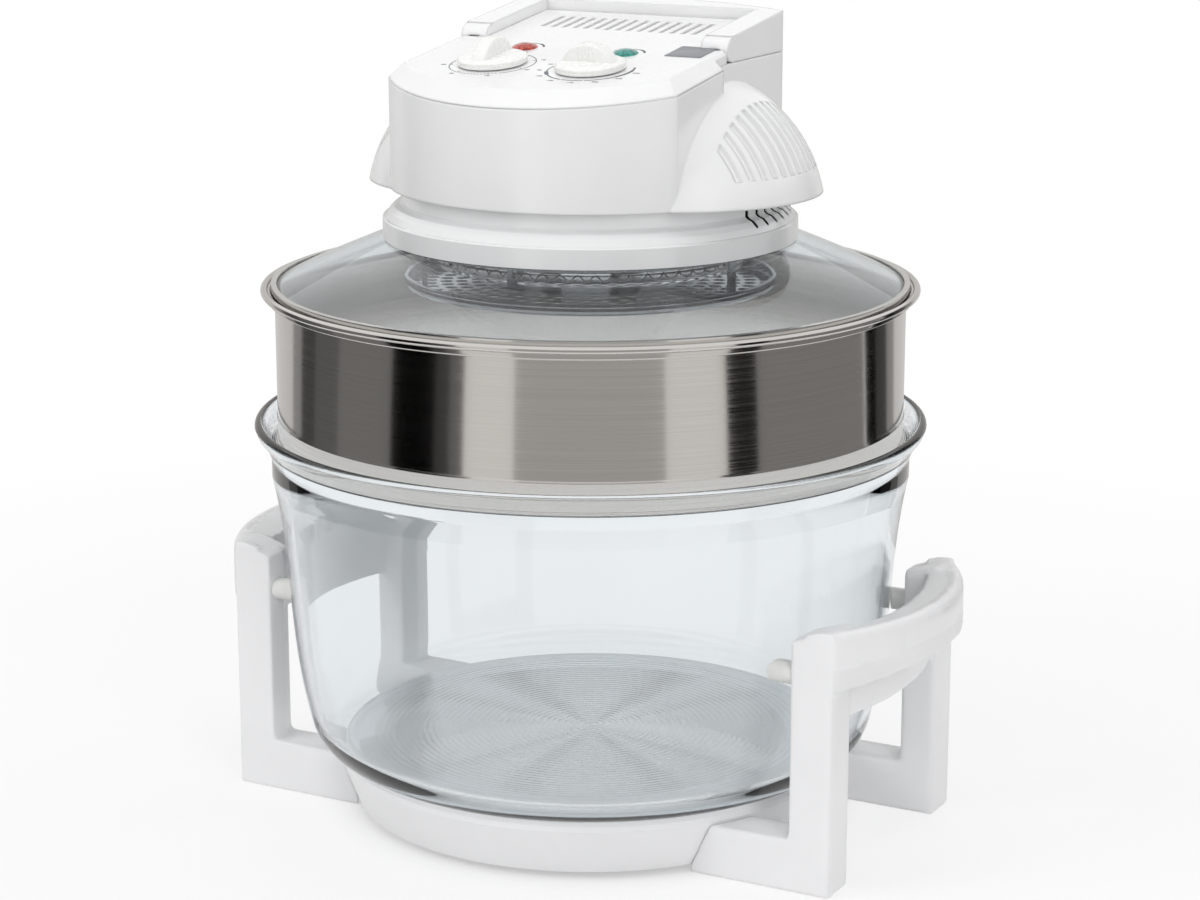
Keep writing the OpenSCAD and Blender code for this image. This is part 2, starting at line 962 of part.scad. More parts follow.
// A pillar on the neck's top that takes one of the screws from below, tied to the housing's floor
module corner_boss() {
    difference() {
        translate([corner_r, 0, neck_top + gap])
            cylinder(r = 4.5, h = 10);
        translate([-far, -far, 0])
            cube([2 * far, 2 * far, neck_top + gap]);
    }
    translate([corner_r + 3, -2, neck_top + gap])
        cube([neck_r - corner_r, 4, 6]);
    translate([neck_r + neck_gap + 0.2, -2, head_z + 1])
        cube([3, 4, neck_top - head_z + 5]);
}

// The sloping top above the seam, set in by one wall where needed
module cover_front(inset) {
    intersection() {
        translate([0, 0, seam_z - 40])
            linear_extrude(80)
                intersection() {
                    head_plan(inset);
                    translate([-far, -far])
                        square([2 * far, far]);
                }
        below_plane(panel_z - inset, panel_tilt);
        chamfer_form(inset);
    }
}

// The broad bevel between the wall and the panel
module chamfer_form(inset) {
    h = panel_rise + 3;
    translate([0, 0, seam_z])
        rotate([edge_tilt, 0, 0])
            union() {
                translate([0, 0, -far])
                    cylinder(r = far, h = far);
                intersection() {
                    cylinder(
                        r1 = front_r / cos(edge_tilt) - inset,
                        r2 = front_r / cos(edge_tilt) - inset - chamfer_in * h / panel_rise / 1.15,
                        h = h, $fn = 180
                    );
                    rotate([90, 0, 0])
                        translate([0, 0, -far])
                            linear_extrude(2 * far)
                                polygon([
                                    [-head_w / 2 + inset, 0],
                                    [head_w / 2 - inset, 0],
                                    [head_w / 2 - inset - h, h],
                                    [-head_w / 2 + inset + h, h]
                                ]);
                }
            }
}

// The raised middle between the handle's arms
module cover_centre(inset) {
    intersection() {
        translate([-centre_w / 2 + inset, -over - inset, seam_z - shelf_t])
            cube([centre_w - 2 * inset, centre_back + over, 60]);
        below_plane(panel_z - inset, panel_tilt);
    }
}

module above_edge_plane() {
    difference() {
        translate([-far, -far, 0])
            cube([2 * far, 2 * far, 2 * far]);
        below_plane(seam_z, edge_tilt);
    }
}

module shelf() {
    translate([0, 0, seam_z - shelf_t])
        linear_extrude(shelf_t)
            intersection() {
                rear_plan(head_wall + shelf_gap);
                translate([-far, 0])
                    square([2 * far, far]);
            }
}

// The two hinge lugs stand on the shelf inside the handle's hollow arms
module hinge_lugs() {
    for (sx = [-1, 1]) {
        translate([sx * lug_x - lug_w / 2, pivot_back + gap, seam_z - over])
            cube([lug_w, lug_d, pivot_z - seam_z + over]);
        translate([sx * lug_x - lug_w / 2, pivot_back, pivot_z])
            rotate([0, 90, 0])
                cylinder(r = lug_r, h = lug_w);
    }
}

module top_cover() {
    color("white")
        difference() {
            union() {
                difference() {
                    union() {
                        intersection() {
                            cover_front(0);
                            above_edge_plane();
                        }
                        cover_centre(0);
                        shelf();
                    }
                    difference() {
                        union() {
                            cover_front(panel_t);
                            cover_centre(panel_t);
                        }
                        boss_places()
                            translate([0, 0, boss_z])
                                cylinder(r = cover_boss_r, h = far);
                    }
                }
                intersection() {
                    boss_places()
                        translate([0, 0, boss_z])
                            cylinder(r = cover_boss_r, h = 40);
                    union() {
                        cover_front(over);
                        translate([-far, over, 0])
                            cube([2 * far, far, seam_z - over]);
                    }
                }
                hinge_lugs();
            }
            boss_places()
                translate([0, 0, boss_z - over])
                    cylinder(r = screw_r + run_gap, h = 7.5);
            for (sx = [-1, 1]) {
                on_panel(sx * dial_spacing / 2, -dial_front)
                    cylinder(r = spindle_d / 2 + 1.2, h = 20, center = true);
                on_panel(sx * lens_spacing / 2, -lens_front)
                    cylinder(r = lens_d / 2 - 1.2, h = 20, center = true);
                translate([sx * lug_x - lug_w, pivot_back, pivot_z])
                    rotate([0, 90, 0])
                        cylinder(r = pin_r, h = 2 * lug_w);
            }
            for (i = [0 : slit_count - 1]) {
                translate([
                    (i - (slit_count - 1) / 2) * slit_pitch - slit_w / 2,
                    slit_y - slit_l / 2,
                    seam_z + panel_rise / 2
                ])
                    cube([slit_w, slit_l, 40]);
            }
            translate([lug_x, plunger_y, seam_z - 10])
                cylinder(r = plunger_r + 0.2, h = 20);
        }
}

// A shallow domed lens with a stem that snaps into the panel
module lens() {
    on_panel(0, -lens_front) {
        rotate_extrude()
            polygon([[0, 0.05], [lens_d / 2, 0.05], [lens_d / 2 - 0.6, 0.9], [lens_d / 4, 2], [0, 2.5]]);
        translate([0, 0, -panel_t - 3])
            cylinder(r = lens_d / 2 - 1.2 - run_gap * 2, h = panel_t + 3.2);
    }
}

module power_lens() {
    color("red", 0.8)
        translate([-lens_spacing / 2, 0, 0])
            lens();
}

module heat_lens() {
    color("green", 0.8)
        translate([lens_spacing / 2, 0, 0])
            lens();
}

// A glow lamp with its two leads, just below a lens
module lamp(x) {
    on_panel(x, -lens_front)
        translate([0, 0, -panel_t - 16]) {
            cylinder(r = 2.8, h = 12.8);
            for (sx = [-1, 1]) {
                translate([sx * 1.2, 0, -6])
                    cylinder(r = 0.4, h = 7);
            }
        }
}

module power_lamp() {
    color("orange")
        lamp(-lens_spacing / 2);
}

module heat_lamp() {
    color("orange")
        lamp(lens_spacing / 2);
}

// Controls

module spindle(x) {
    on_panel(x, -dial_front)
        translate([0, 0, -panel_t - spindle_depth])
            cylinder(r = spindle_d / 2, h = panel_t + spindle_depth + knob_h - 4);
}

module unit_case(x, size) {
    on_panel(x, -dial_front)
        difference() {
            union() {
                translate([-size.x / 2, -size.y / 2, -panel_t - unit_gap - size.z])
                    cube(size);
                translate([-size.x / 4, -size.y / 2 - 1, -panel_t - unit_gap - 1.5])
                    cube([size.x / 2, size.y + 2, 1.5]);
            }
            translate([0, 0, -panel_t - spindle_depth - 2])
                cylinder(r = spindle_d / 2 + run_gap, h = far);
        }
}

module timer_unit() {
    color("lightgray")
        unit_case(-dial_spacing / 2, timer_case);
}

module thermostat_unit() {
    color("gainsboro")
        unit_case(dial_spacing / 2, heat_case);
}

module timer_spindle() {
    color("silver")
        spindle(-dial_spacing / 2);
}

module thermostat_spindle() {
    color("silver")
        spindle(dial_spacing / 2);
}

// A round skirt with a rounded fin to turn it by
module knob(x, turn) {
    skirt_r = knob_d / 2;
    fin_r = knob_d / 2 - 2.2;
    on_panel(x, -dial_front)
        difference() {
            union() {
                translate([0, 0, dial_gap])
                    rotate_extrude()
                        polygon([
                            [0, 0],
                            [skirt_r, 0],
                            [skirt_r, skirt_t - 1.6],
                            [skirt_r - 1.2, skirt_t - 0.4],
                            [skirt_r - 4, skirt_t],
                            [0, skirt_t]
                        ]);
                rotate(turn)
                    intersection() {
                        translate([0, grip_fin / 2, knob_h - fin_r])
                            rotate([90, 0, 0])
                                cylinder(r = fin_r, h = grip_fin);
                        translate([-far, -far, dial_gap + over])
                            cube([2 * far, 2 * far, far]);
                    }
            }
            translate([0, 0, -over])
                cylinder(r = spindle_d / 2 + run_gap, h = knob_h - 3 + over);
        }
}

module timer_knob() {
    color("white")
        knob(-dial_spacing / 2, 90);
}

module thermostat_knob() {
    color("white")
        knob(dial_spacing / 2, 0);
}

// Carry handle

module handle_outline(inset) {
    half = rear_w / 2 - inset;
    intersection() {
        difference() {
            intersection() {
                translate([0, head_back - back_r])
                    circle(r = back_r - inset, $fn = 180);
                translate([-half, pivot_back])
                    square([2 * half, far]);
            }
            translate([-arm_x - inset, -far])
                square([2 * (arm_x + inset), far + back_corner - 0.2 + inset]);
        }
        translate([-far, 0])
            square([2 * far, far]);
    }
}

module handle_form(inset) {
    intersection() {
        translate([0, 0, seam_z + gap - (inset > 0 ? over : 0)])
            linear_extrude(60)
                handle_outline(inset);
        below_plane(handle_top_z - inset, panel_tilt);
    }
}

// The rounded front ends that turn on the pins
module handle_hub(sx, inset) {
    w = arm_w - 2 * inset;
    translate([sx * lug_x - w / 2, pivot_back, pivot_z])
        rotate([0, 90, 0])
            cylinder(r = pivot_r - inset, h = w);
}

module carry_handle() {
    color("white")
        difference() {
            union() {
                difference() {
                    union() {
                        handle_form(0);
                        handle_hub(1, 0);
                        handle_hub(-1, 0);
                    }
                    handle_form(handle_wall);
                    for (sx = [-1, 1]) {
                        handle_hub(sx, handle_wall);
                        translate([sx * lug_x - lug_w / 2 - 0.5, 0, seam_z])
                            cube([lug_w + 1, pivot_back + over, pivot_z - seam_z + 0.5]);
                        translate([
                            sx * lug_x - arm_w / 2 + handle_wall, pivot_back - over, seam_z
                        ])
                            cube([arm_w - 2 * handle_wall, 8, pivot_z - seam_z]);
                    }
                }
                translate([lug_x - arm_w / 2 + 1, plunger_y - 2, seam_z + gap + 0.6])
                    cube([arm_w - 2, 4, 6]);
            }
            for (sx = [-1, 1]) {
                translate([sx * lug_x - pin_len / 2 - run_gap, pivot_back, pivot_z])
                    rotate([0, 90, 0])
                        cylinder(r = pin_r + run_gap, h = pin_len + 2 * run_gap);
            }
        }
}

module handle_pins() {
    color("silver")
        for (sx = [-1, 1]) {
            translate([sx * lug_x - pin_len / 2, pivot_back, pivot_z])
                rotate([0, 90, 0])
                    cylinder(r = pin_r, h = pin_len);
        }
}

// The button that the closed handle holds down
module switch_plunger() {
    color("dimgray")
        translate([lug_x, plunger_y, seam_z - 12])
            cylinder(r = plunger_r, h = 12 + gap + 0.4);
}

module safety_switch() {
    color("black")
        difference() {
            translate([lug_x - 4.8, plunger_y - 10, seam_z - shelf_t - unit_gap - 20])
                cube([9.2, 20, 20]);
            translate([lug_x, plunger_y, seam_z - 13])
                cylinder(r = plunger_r + run_gap, h = 20);
        }
}

// Fan motor

// The iron stack, with two windows that leave a rear limb for the winding
module motor_stator() {
    color("gray")
        difference() {
            translate([-stack_w / 2, -stack_d / 2 + stack_y, motor_z])
                cube([stack_w, stack_d, stack_h]);
            translate([0, 0, motor_z - over])
                cylinder(r = rotor_d / 2 + 0.4, h = stack_h + 2 * over);
            translate([-coil_x, window_y, motor_z - over])
                cube([2 * coil_x, window_d, stack_h + 2 * over]);
            for (sx = [-1, 1]) {
                translate([sx * (stack_w / 2 - 5), stack_y, 0])
                    cylinder(r = screw_r + gap, h = far);
            }
        }
}

// The winding round the stator's rear limb
module motor_coil() {
    limb_y = window_y + window_d;
    limb_d = stack_d / 2 + stack_y - limb_y;
    color("chocolate")
        difference() {
            translate([-coil_x + 1, limb_y - window_d + 1, motor_z - 5])
                cube([2 * coil_x - 2, limb_d + 2 * window_d - 2, stack_h + 10]);
            translate([-coil_x, limb_y - 0.2, motor_z - 0.2])
                cube([2 * coil_x, limb_d + 0.4, stack_h + 0.4]);
        }
}

module bracket(low, up) {
    dir = up ? 1 : -1;
    z_flat = up ? low + bracket_rise - bracket_t : low - bracket_rise;
    difference() {
        union() {
            translate([-stack_w / 2, stack_y - 6, z_flat])
                cube([stack_w, 12, bracket_t]);
            translate([0, 0, z_flat])
                cylinder(r = bush_r + 4, h = bracket_t);
            for (sx = [-1, 1]) {
                translate([sx * (stack_w / 2 - 5), stack_y, up ? low : z_flat])
                    cylinder(r = 4, h = bracket_rise);
            }
        }
        translate([0, 0, z_flat - over])
            cylinder(r = bush_r, h = bracket_t + 2 * over);
        for (sx = [-1, 1]) {
            translate([sx * (stack_w / 2 - 5), stack_y, 0])
                cylinder(r = screw_r + gap, h = far);
        }
    }
}

module motor_brackets() {
    color("lightsteelblue") {
        bracket(motor_z, false);
        bracket(motor_z + stack_h, true);
    }
}

module motor_bearings() {
    low = motor_z - bracket_rise;
    high = motor_z + stack_h + bracket_rise - bracket_t;
    color("goldenrod")
        for (z = [low, high]) {
            difference() {
                translate([0, 0, z])
                    cylinder(r = bush_r, h = bracket_t + (z == high ? 3 : 0));
                translate([0, 0, z - over])
                    cylinder(r = shaft_d / 2 + run_gap, h = 10);
            }
        }
}

// The steel bridge that carries the motor over the cooling fan
module motor_bridge() {
    foot_z = floor_z + floor_t;
    color("silver")
        difference() {
            union() {
                translate([-bridge_r, -bridge_w / 2 + stack_y, bridge_z])
                    cube([2 * bridge_r, bridge_w, bridge_t]);
                for (sx = [-1, 1]) {
                    translate([sx * bridge_r - (sx > 0 ? bridge_t : 0), -bridge_w / 2 + stack_y, foot_z])
                        cube([bridge_t, bridge_w, bridge_z - foot_z + bridge_t]);
                    translate([sx * (bridge_r - 4) - 4, -bridge_w / 2 + stack_y, foot_z])
                        cube([8, bridge_w, bridge_t]);
                }
            }
            cylinder(r = bush_r + 3, h = far);
            for (sx = [-1, 1]) {
                translate([sx * (stack_w / 2 - 5), stack_y, 0])
                    cylinder(r = screw_r + gap, h = far);
            }
        }
}

module motor_screws() {
    low = bridge_z - 2;
    color("silver")
        for (sx = [-1, 1]) {
            translate([sx * (stack_w / 2 - 5), stack_y, low])
                screw_up(screw_r, motor_z + stack_h + bracket_rise - bridge_z + 1);
        }
}

module rotor() {
    color("darkgray")
        difference() {
            translate([0, 0, motor_z])
                cylinder(r = rotor_d / 2, h = stack_h);
            translate([0, 0, motor_z - over])
                cylinder(r = shaft_d / 2, h = stack_h + 2 * over);
        }
}

module motor_shaft() {
    color("silver")
        translate([0, 0, hot_fan_z - 0.6])
            cylinder(r = shaft_d / 2, h = shaft_top - hot_fan_z);
}

// A flat hub disc with upright blades
module fan(z, d, h, hub_r, disc_t) {
    difference() {
        union() {
            translate([0, 0, z])
                cylinder(r = d / 2 - 8, h = disc_t);
            translate([0, 0, z])
                cylinder(r = hub_r, h = h);
            for (i = [0 : blade_count - 1]) {
                rotate(i * 360 / blade_count)
                    translate([d / 4, -disc_t / 2, z])
                        cube([d / 4, disc_t, h]);
            }
        }
        translate([0, 0, z - over])
            cylinder(r = shaft_d / 2, h = h + 2 * over);
    }
}

module cooling_fan() {
    color("silver")
        fan(cool_fan_z, cool_fan_d, cool_fan_h, 8, 1);
}

module convection_fan() {
    color("silver")
        fan(hot_fan_z, hot_fan_d, hot_fan_h, 7, 0.8);
}

// The nut that holds the convection fan on the end of the shaft
module fan_nut() {
    color("silver")
        difference() {
            translate([0, 0, hot_fan_z - 2])
                cylinder(r = 4.6, h = 1.9, $fn = 6);
            translate([0, 0, hot_fan_z - 0.6])
                cylinder(r = shaft_d / 2, h = 4);
        }
}

// Heater

module heat_shield() {
    color("silver")
        difference() {
            union() {
                translate([0, 0, floor_z - dish_sheet])
                    cylinder(r = shield_r, h = dish_sheet, $fn = 180);
                ring_band(shield_r - dish_sheet, shield_r, shield_low, floor_z);
            }
            centre_holes();
            for (a = [45 : 90 : 315]) {
                rotate(a)
                    translate([corner_r, 0, 0])
                        cylinder(r = screw_r + gap, h = far);
            }
        }
}

// The holes for the shaft and the lamp's two ends
module centre_holes() {
    cylinder(r = shaft_d / 2 + 2, h = far);
    for (end = [0, 1]) {
        lamp_place(end)
            cylinder(r = lamp_end_r + gap, h = far);
    }
}

module insulation_disc() {
    color("ivory")
        difference() {
            translate([0, 0, floor_z])
                cylinder(r = floor_open_r - 1, h = floor_t - 0.4);
            centre_holes();
        }
}

// Rows of holes on circles, each row turned by half a step from the one inside it
module hole_pattern(r_last) {
    for (row = [0 : hole_rows - 1]) {
        r = r_last - row * hole_ring_gap;
        count = floor(2 * PI * r / hole_pitch);
        for (i = [0 : count - 1]) {
            rotate((i + (row % 2) / 2) * 360 / count)
                translate([r, 0])
                    circle(r = hole_d / 2, $fn = 24);
        }
    }
}

module upper_grille() {
    color("silver")
        translate([0, 0, grille_z])
            linear_extrude(dish_sheet)
                difference() {
                    circle(r = shield_r, $fn = 180);
                    hole_pattern(shield_r - 5);
                    for (end = [0, 1]) {
                        rotate(lamp_angle(end))
                            translate([tube_ring_d / 2, 0])
                                circle(r = 6);
                    }
                }
}

// A perforated plate with an upright rim, beaded at its foot and its edge
module guard_dish() {
    rim_r = dish_d / 2;
    top = dish_z + dish_h;
    color("silver")
        difference() {
            rotate_extrude($fn = 180)
                polygon([
                    [0, dish_z],
                    [rim_r - dish_roll, dish_z],
                    [rim_r, dish_z + dish_roll],
                    [rim_r - dish_sheet / 2, dish_z + 2 * dish_roll],
                    [rim_r - dish_sheet / 2, top - 2 * dish_roll],
                    [rim_r, top - 1.4 * dish_roll],
                    [rim_r, top - 0.6 * dish_roll],
                    [rim_r - 0.6 * dish_roll, top],
                    [rim_r - 1.4 * dish_roll, top],
                    [rim_r - 2 * dish_roll, top - 0.6 * dish_roll],
                    [rim_r - 2 * dish_roll, top - 1.4 * dish_roll],
                    [rim_r - 1.5 * dish_sheet, top - 2 * dish_roll],
                    [rim_r - 1.5 * dish_sheet, dish_z + dish_sheet],
                    [0, dish_z + dish_sheet]
                ]);
            translate([0, 0, dish_z - over])
                linear_extrude(dish_sheet + 2 * over)
                    hole_pattern(plate_r);
        }
}

// Flat straps that hang the guard dish below the grille
module guard_straps() {
    strap_r = shield_r - dish_sheet - 0.1;
    color("silver")
        for (a = strap_angles) {
            rotate(a) {
                translate([strap_r - strap_t, -strap_w / 2, dish_z + dish_sheet])
                    cube([strap_t, strap_w, grille_z - dish_z - dish_sheet]);
                translate([strap_r - 8, -strap_w / 2, dish_z + dish_sheet])
                    cube([8, strap_w, strap_t]);
                translate([strap_r - 8, -strap_w / 2, grille_z - strap_t])
                    cube([8, strap_w, strap_t]);
            }
        }
}

function lamp_angle(end) = tube_start + end * tube_sweep;

module lamp_place(end) {
    rotate(lamp_angle(end))
        translate([tube_ring_d / 2, 0, 0])
            children();
}

// The quartz tube, a ring that stops short of closing
module halogen_tube() {
    color("azure", 0.4)
        rotate(tube_start + end_angle)
            translate([0, 0, tube_z])
                rotate_extrude(angle = tube_sweep - 2 * end_angle, $fn = 180)
                    translate([tube_ring_d / 2, 0])
                        difference() {
                            circle(r = tube_d / 2, $fn = 32);
                            circle(r = tube_d / 2 - 1.1, $fn = 32);
                        }
}

// Ceramic ends that plug the tube and rise through the shield
module lamp_ends() {
    color("ivory")
        for (end = [0, 1]) {
            lamp_place(end) {
                translate([0, 0, tube_z - tube_d / 2 - 0.6])
                    cylinder(r = lamp_end_r, h = floor_z + floor_t - tube_z + tube_d / 2);
                translate([0, 0, tube_z])
                    rotate([end == 0 ? -90 : 90, 0, 0])
                        cylinder(r = tube_d / 2 + 0.6, h = end_sleeve - 0.6);
            }
        }
}

// Wire clips that hold the tube up to the grille
module tube_clips() {
    color("silver")
        for (a = strap_angles) {
            rotate(a + 40)
                difference() {
                    translate([tube_ring_d / 2 - tube_d / 2 - 1.2, -1.5, tube_z - tube_d / 2 - 1.2])
                        cube([tube_d + 2.4, 3, grille_z - tube_z + tube_d / 2 + 1.2]);
                    translate([tube_ring_d / 2, 0, tube_z])
                        rotate([90, 0, 0])
                            cylinder(r = tube_d / 2 + 0.2, h = 10, center = true);
                    translate([tube_ring_d / 2 - tube_d / 2 - 0.2, -5, tube_z])
                        cube([tube_d + 0.4, 10, grille_z - tube_z - 1]);
                }
        }
}

// The filament's helix follows the tube

filament_start = tube_start + end_angle + 3;
filament_sweep = tube_sweep - 2 * end_angle - 6;
filament_steps = filament_turns * 8;

function filament_point(i) =
    let (
        s = i / filament_steps,
        a = filament_start + filament_sweep * s,
        turn = 360 * filament_turns * s,
        r = tube_ring_d / 2 + filament_r * cos(turn)
    )
    [r * cos(a), r * sin(a), tube_z + filament_r * sin(turn)];

function unit(v) = v / norm(v);

function filament_dir(i) = unit(filament_point(i + 0.5) - filament_point(i - 0.5));

// Corners of the wire's six-sided section at one ring of the sweep
function wire_ring(i) =
    let (
        d = filament_dir(i),
        s = i / filament_steps,
        a = filament_start + filament_sweep * s,
        mid = [tube_ring_d / 2 * cos(a), tube_ring_d / 2 * sin(a), tube_z],
        u = unit(cross(d, filament_point(i) - mid)),
        v = cross(d, u)
    )
    [for (k = [0 : 5]) filament_point(i) + wire_r * (cos(60 * k) * u + sin(60 * k) * v)];

module filament() {
    rings = [for (i = [0 : filament_steps]) each wire_ring(i)];
    sides = [for (i = [0 : filament_steps - 1]) for (k = [0 : 5]) each [
        [i * 6 + k, i * 6 + (k + 1) % 6, i * 6 + 6 + (k + 1) % 6],
        [i * 6 + k, i * 6 + 6 + (k + 1) % 6, i * 6 + 6 + k]
    ]];
    last = filament_steps * 6;
    caps = [for (k = [1 : 4]) each [
        [0, k + 1, k],
        [last, last + k, last + k + 1]
    ]];
    color("darkslategray")
        polyhedron(points = rings, faces = concat(sides, caps), convexity = 10);
}

// Least clear gap between the filament's neighbouring turns, measured on its points
filament_gap = min([for (i = [0 : 4 : filament_steps - 40]) for (j = [i + 6 : i + 12])
    norm(filament_point(i) - filament_point(j))]) - 2 * wire_r;
echo(filament_gap = filament_gap);

// Electrical pieces

// Three screw terminals, seated on the motor's bridge
module terminal_block() {
    low = bridge_z + bridge_t;
    color("ivory")
        difference() {
            translate([-stack_w / 2 - 33, stack_y - 7, low])
                cube([26, 14, 12]);
            for (i = [0 : 2]) {
                translate([-stack_w / 2 - 28 + i * 8, stack_y, low + 5])
                    cylinder(r = 1.6, h = 20);
            }
        }
}

// The bush in the rear wall through which the mains lead enters
module cord_inlet() {
    wall_y = back_wall_y(inlet_x);
    color("black")
        difference() {
            translate([inlet_x, 0, inlet_z])
                rotate([-90, 0, 0])
                    union() {
                        translate([0, 0, wall_y - head_wall - 6])
                            cylinder(r = inlet_r, h = 10);
                        translate([0, 0, wall_y + 1.6])
                            cylinder(r = inlet_r + 1.5, h = 4);
                    }
            translate([inlet_x, 0, inlet_z])
                rotate([-90, 0, 0])
                    cylinder(r = 3.5, h = far);
        }
}

function back_wall_y(x) = head_back - back_r + sqrt(back_r * back_r - x * x);

module thermal_fuse() {
    color("tan")
        translate([stack_w / 2 + 6, stack_y - 3.5, bridge_z + bridge_t]) {
            cube([20, 7, 5]);
            translate([-4, 2.5, 1])
                cube([28, 2, 1]);
        }
}

module collar_screws() {
    color("silver")
        for (a = [45 : 90 : 315]) {
            rotate(a)
                translate([corner_r, 0, floor_z - dish_sheet - 2])
                    screw_up(screw_r, neck_top - floor_z + 8);
        }
}

module cover_screws() {
    color("silver")
        boss_places()
            translate([0, 0, boss_z - lug_t - 2])
                screw_up(screw_r, lug_t + 6);
}

base_ring();
left_handle();
right_handle();
handle_screws();
bumper_pads();
pad_screws();
glass_bowl();
extension_ring();
lid_glass();
lid_band();
lid_gasket();
clamp_ring();
collar();
lower_housing();
top_cover();
power_lens();
heat_lens();
power_lamp();
heat_lamp();
timer_unit();
thermostat_unit();
safety_switch();
motor_stator();
motor_coil();
motor_brackets();
motor_bearings();
motor_bridge();
motor_screws();
heat_shield();
insulation_disc();
upper_grille();
guard_dish();
guard_straps();
halogen_tube();
filament();
lamp_ends();
tube_clips();
terminal_block();
cord_inlet();
thermal_fuse();
collar_screws();
cover_screws();
handle_pins();
carry_handle();
switch_plunger();
timer_knob();
timer_spindle();
thermostat_knob();
thermostat_spindle();
rotor();
motor_shaft();
cooling_fan();
convection_fan();
fan_nut();
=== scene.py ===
"""The looks of a halogen oven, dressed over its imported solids.

Everything is in metres, in the solids' own frame: the origin lies on the bowl's axis at table
height, +Z is up and the dials face -Y. Sizes in the classes below are in millimetres, as on a
drawing, and become metres where a mesh is made.
"""

import logging
import math
from dataclasses import dataclass, field
from enum import Enum
from typing import Sequence

import bpy
from mathutils import Matrix, Vector


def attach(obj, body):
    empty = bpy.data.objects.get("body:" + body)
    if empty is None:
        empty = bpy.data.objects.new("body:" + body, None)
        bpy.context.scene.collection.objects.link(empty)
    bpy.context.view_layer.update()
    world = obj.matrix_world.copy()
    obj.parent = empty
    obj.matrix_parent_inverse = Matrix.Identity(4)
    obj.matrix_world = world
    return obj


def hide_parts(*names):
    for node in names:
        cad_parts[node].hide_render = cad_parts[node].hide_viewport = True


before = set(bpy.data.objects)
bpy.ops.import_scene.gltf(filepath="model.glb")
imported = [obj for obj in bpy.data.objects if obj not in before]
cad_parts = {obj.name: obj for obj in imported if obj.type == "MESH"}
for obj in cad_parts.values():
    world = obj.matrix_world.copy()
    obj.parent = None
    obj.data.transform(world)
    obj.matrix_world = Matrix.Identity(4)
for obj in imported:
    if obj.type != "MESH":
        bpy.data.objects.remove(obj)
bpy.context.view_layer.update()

LOG = logging.getLogger("halogen_oven")
MM = 0.001

Point = tuple[float, float, float]
Pair = tuple[float, float]
Section = list[Pair]
Colour = tuple[float, float, float]


class Grain(Enum):
    """How a metal's surface lines run."""

    ROUND = "round the axis"
    ALONG = "along X"
    NONE = "none"


# Heights and radii in mm, just under the collar's face: deeper lie its slots' walls and the inside,
# which get painted shade.
COLLAR_SHADE_SKIN = (
    (302.7, 91.7), (302.8, 98.4), (303.9, 97.8), (306.1, 95.4), (307.0, 92.9), (308.0, 91.9),
)

# The usual span of a noise pattern, and the share of its colour that a slot's wall keeps under the
# painted shade.
PATTERN_LOW = 0.35
PATTERN_HIGH = 0.65
SLOT_PAINTED_SHADE = 0.03
EDGE_SAMPLES = 8
WHITE = (1.0, 1.0, 1.0, 1.0)

# Merge distances in metres: along a drawn section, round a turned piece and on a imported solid.
CHAIN_WELD = 1e-7
TURN_WELD = 2e-6
SOLID_WELD = 1e-5

# The print's thickness and lift in mm, the angle of one facet of an arc, and text size per height.
INK = 0.06
INK_LIFT = 0.01
ARC_STEP = 6.0
TEXT_SCALE = 1.4


# Materials


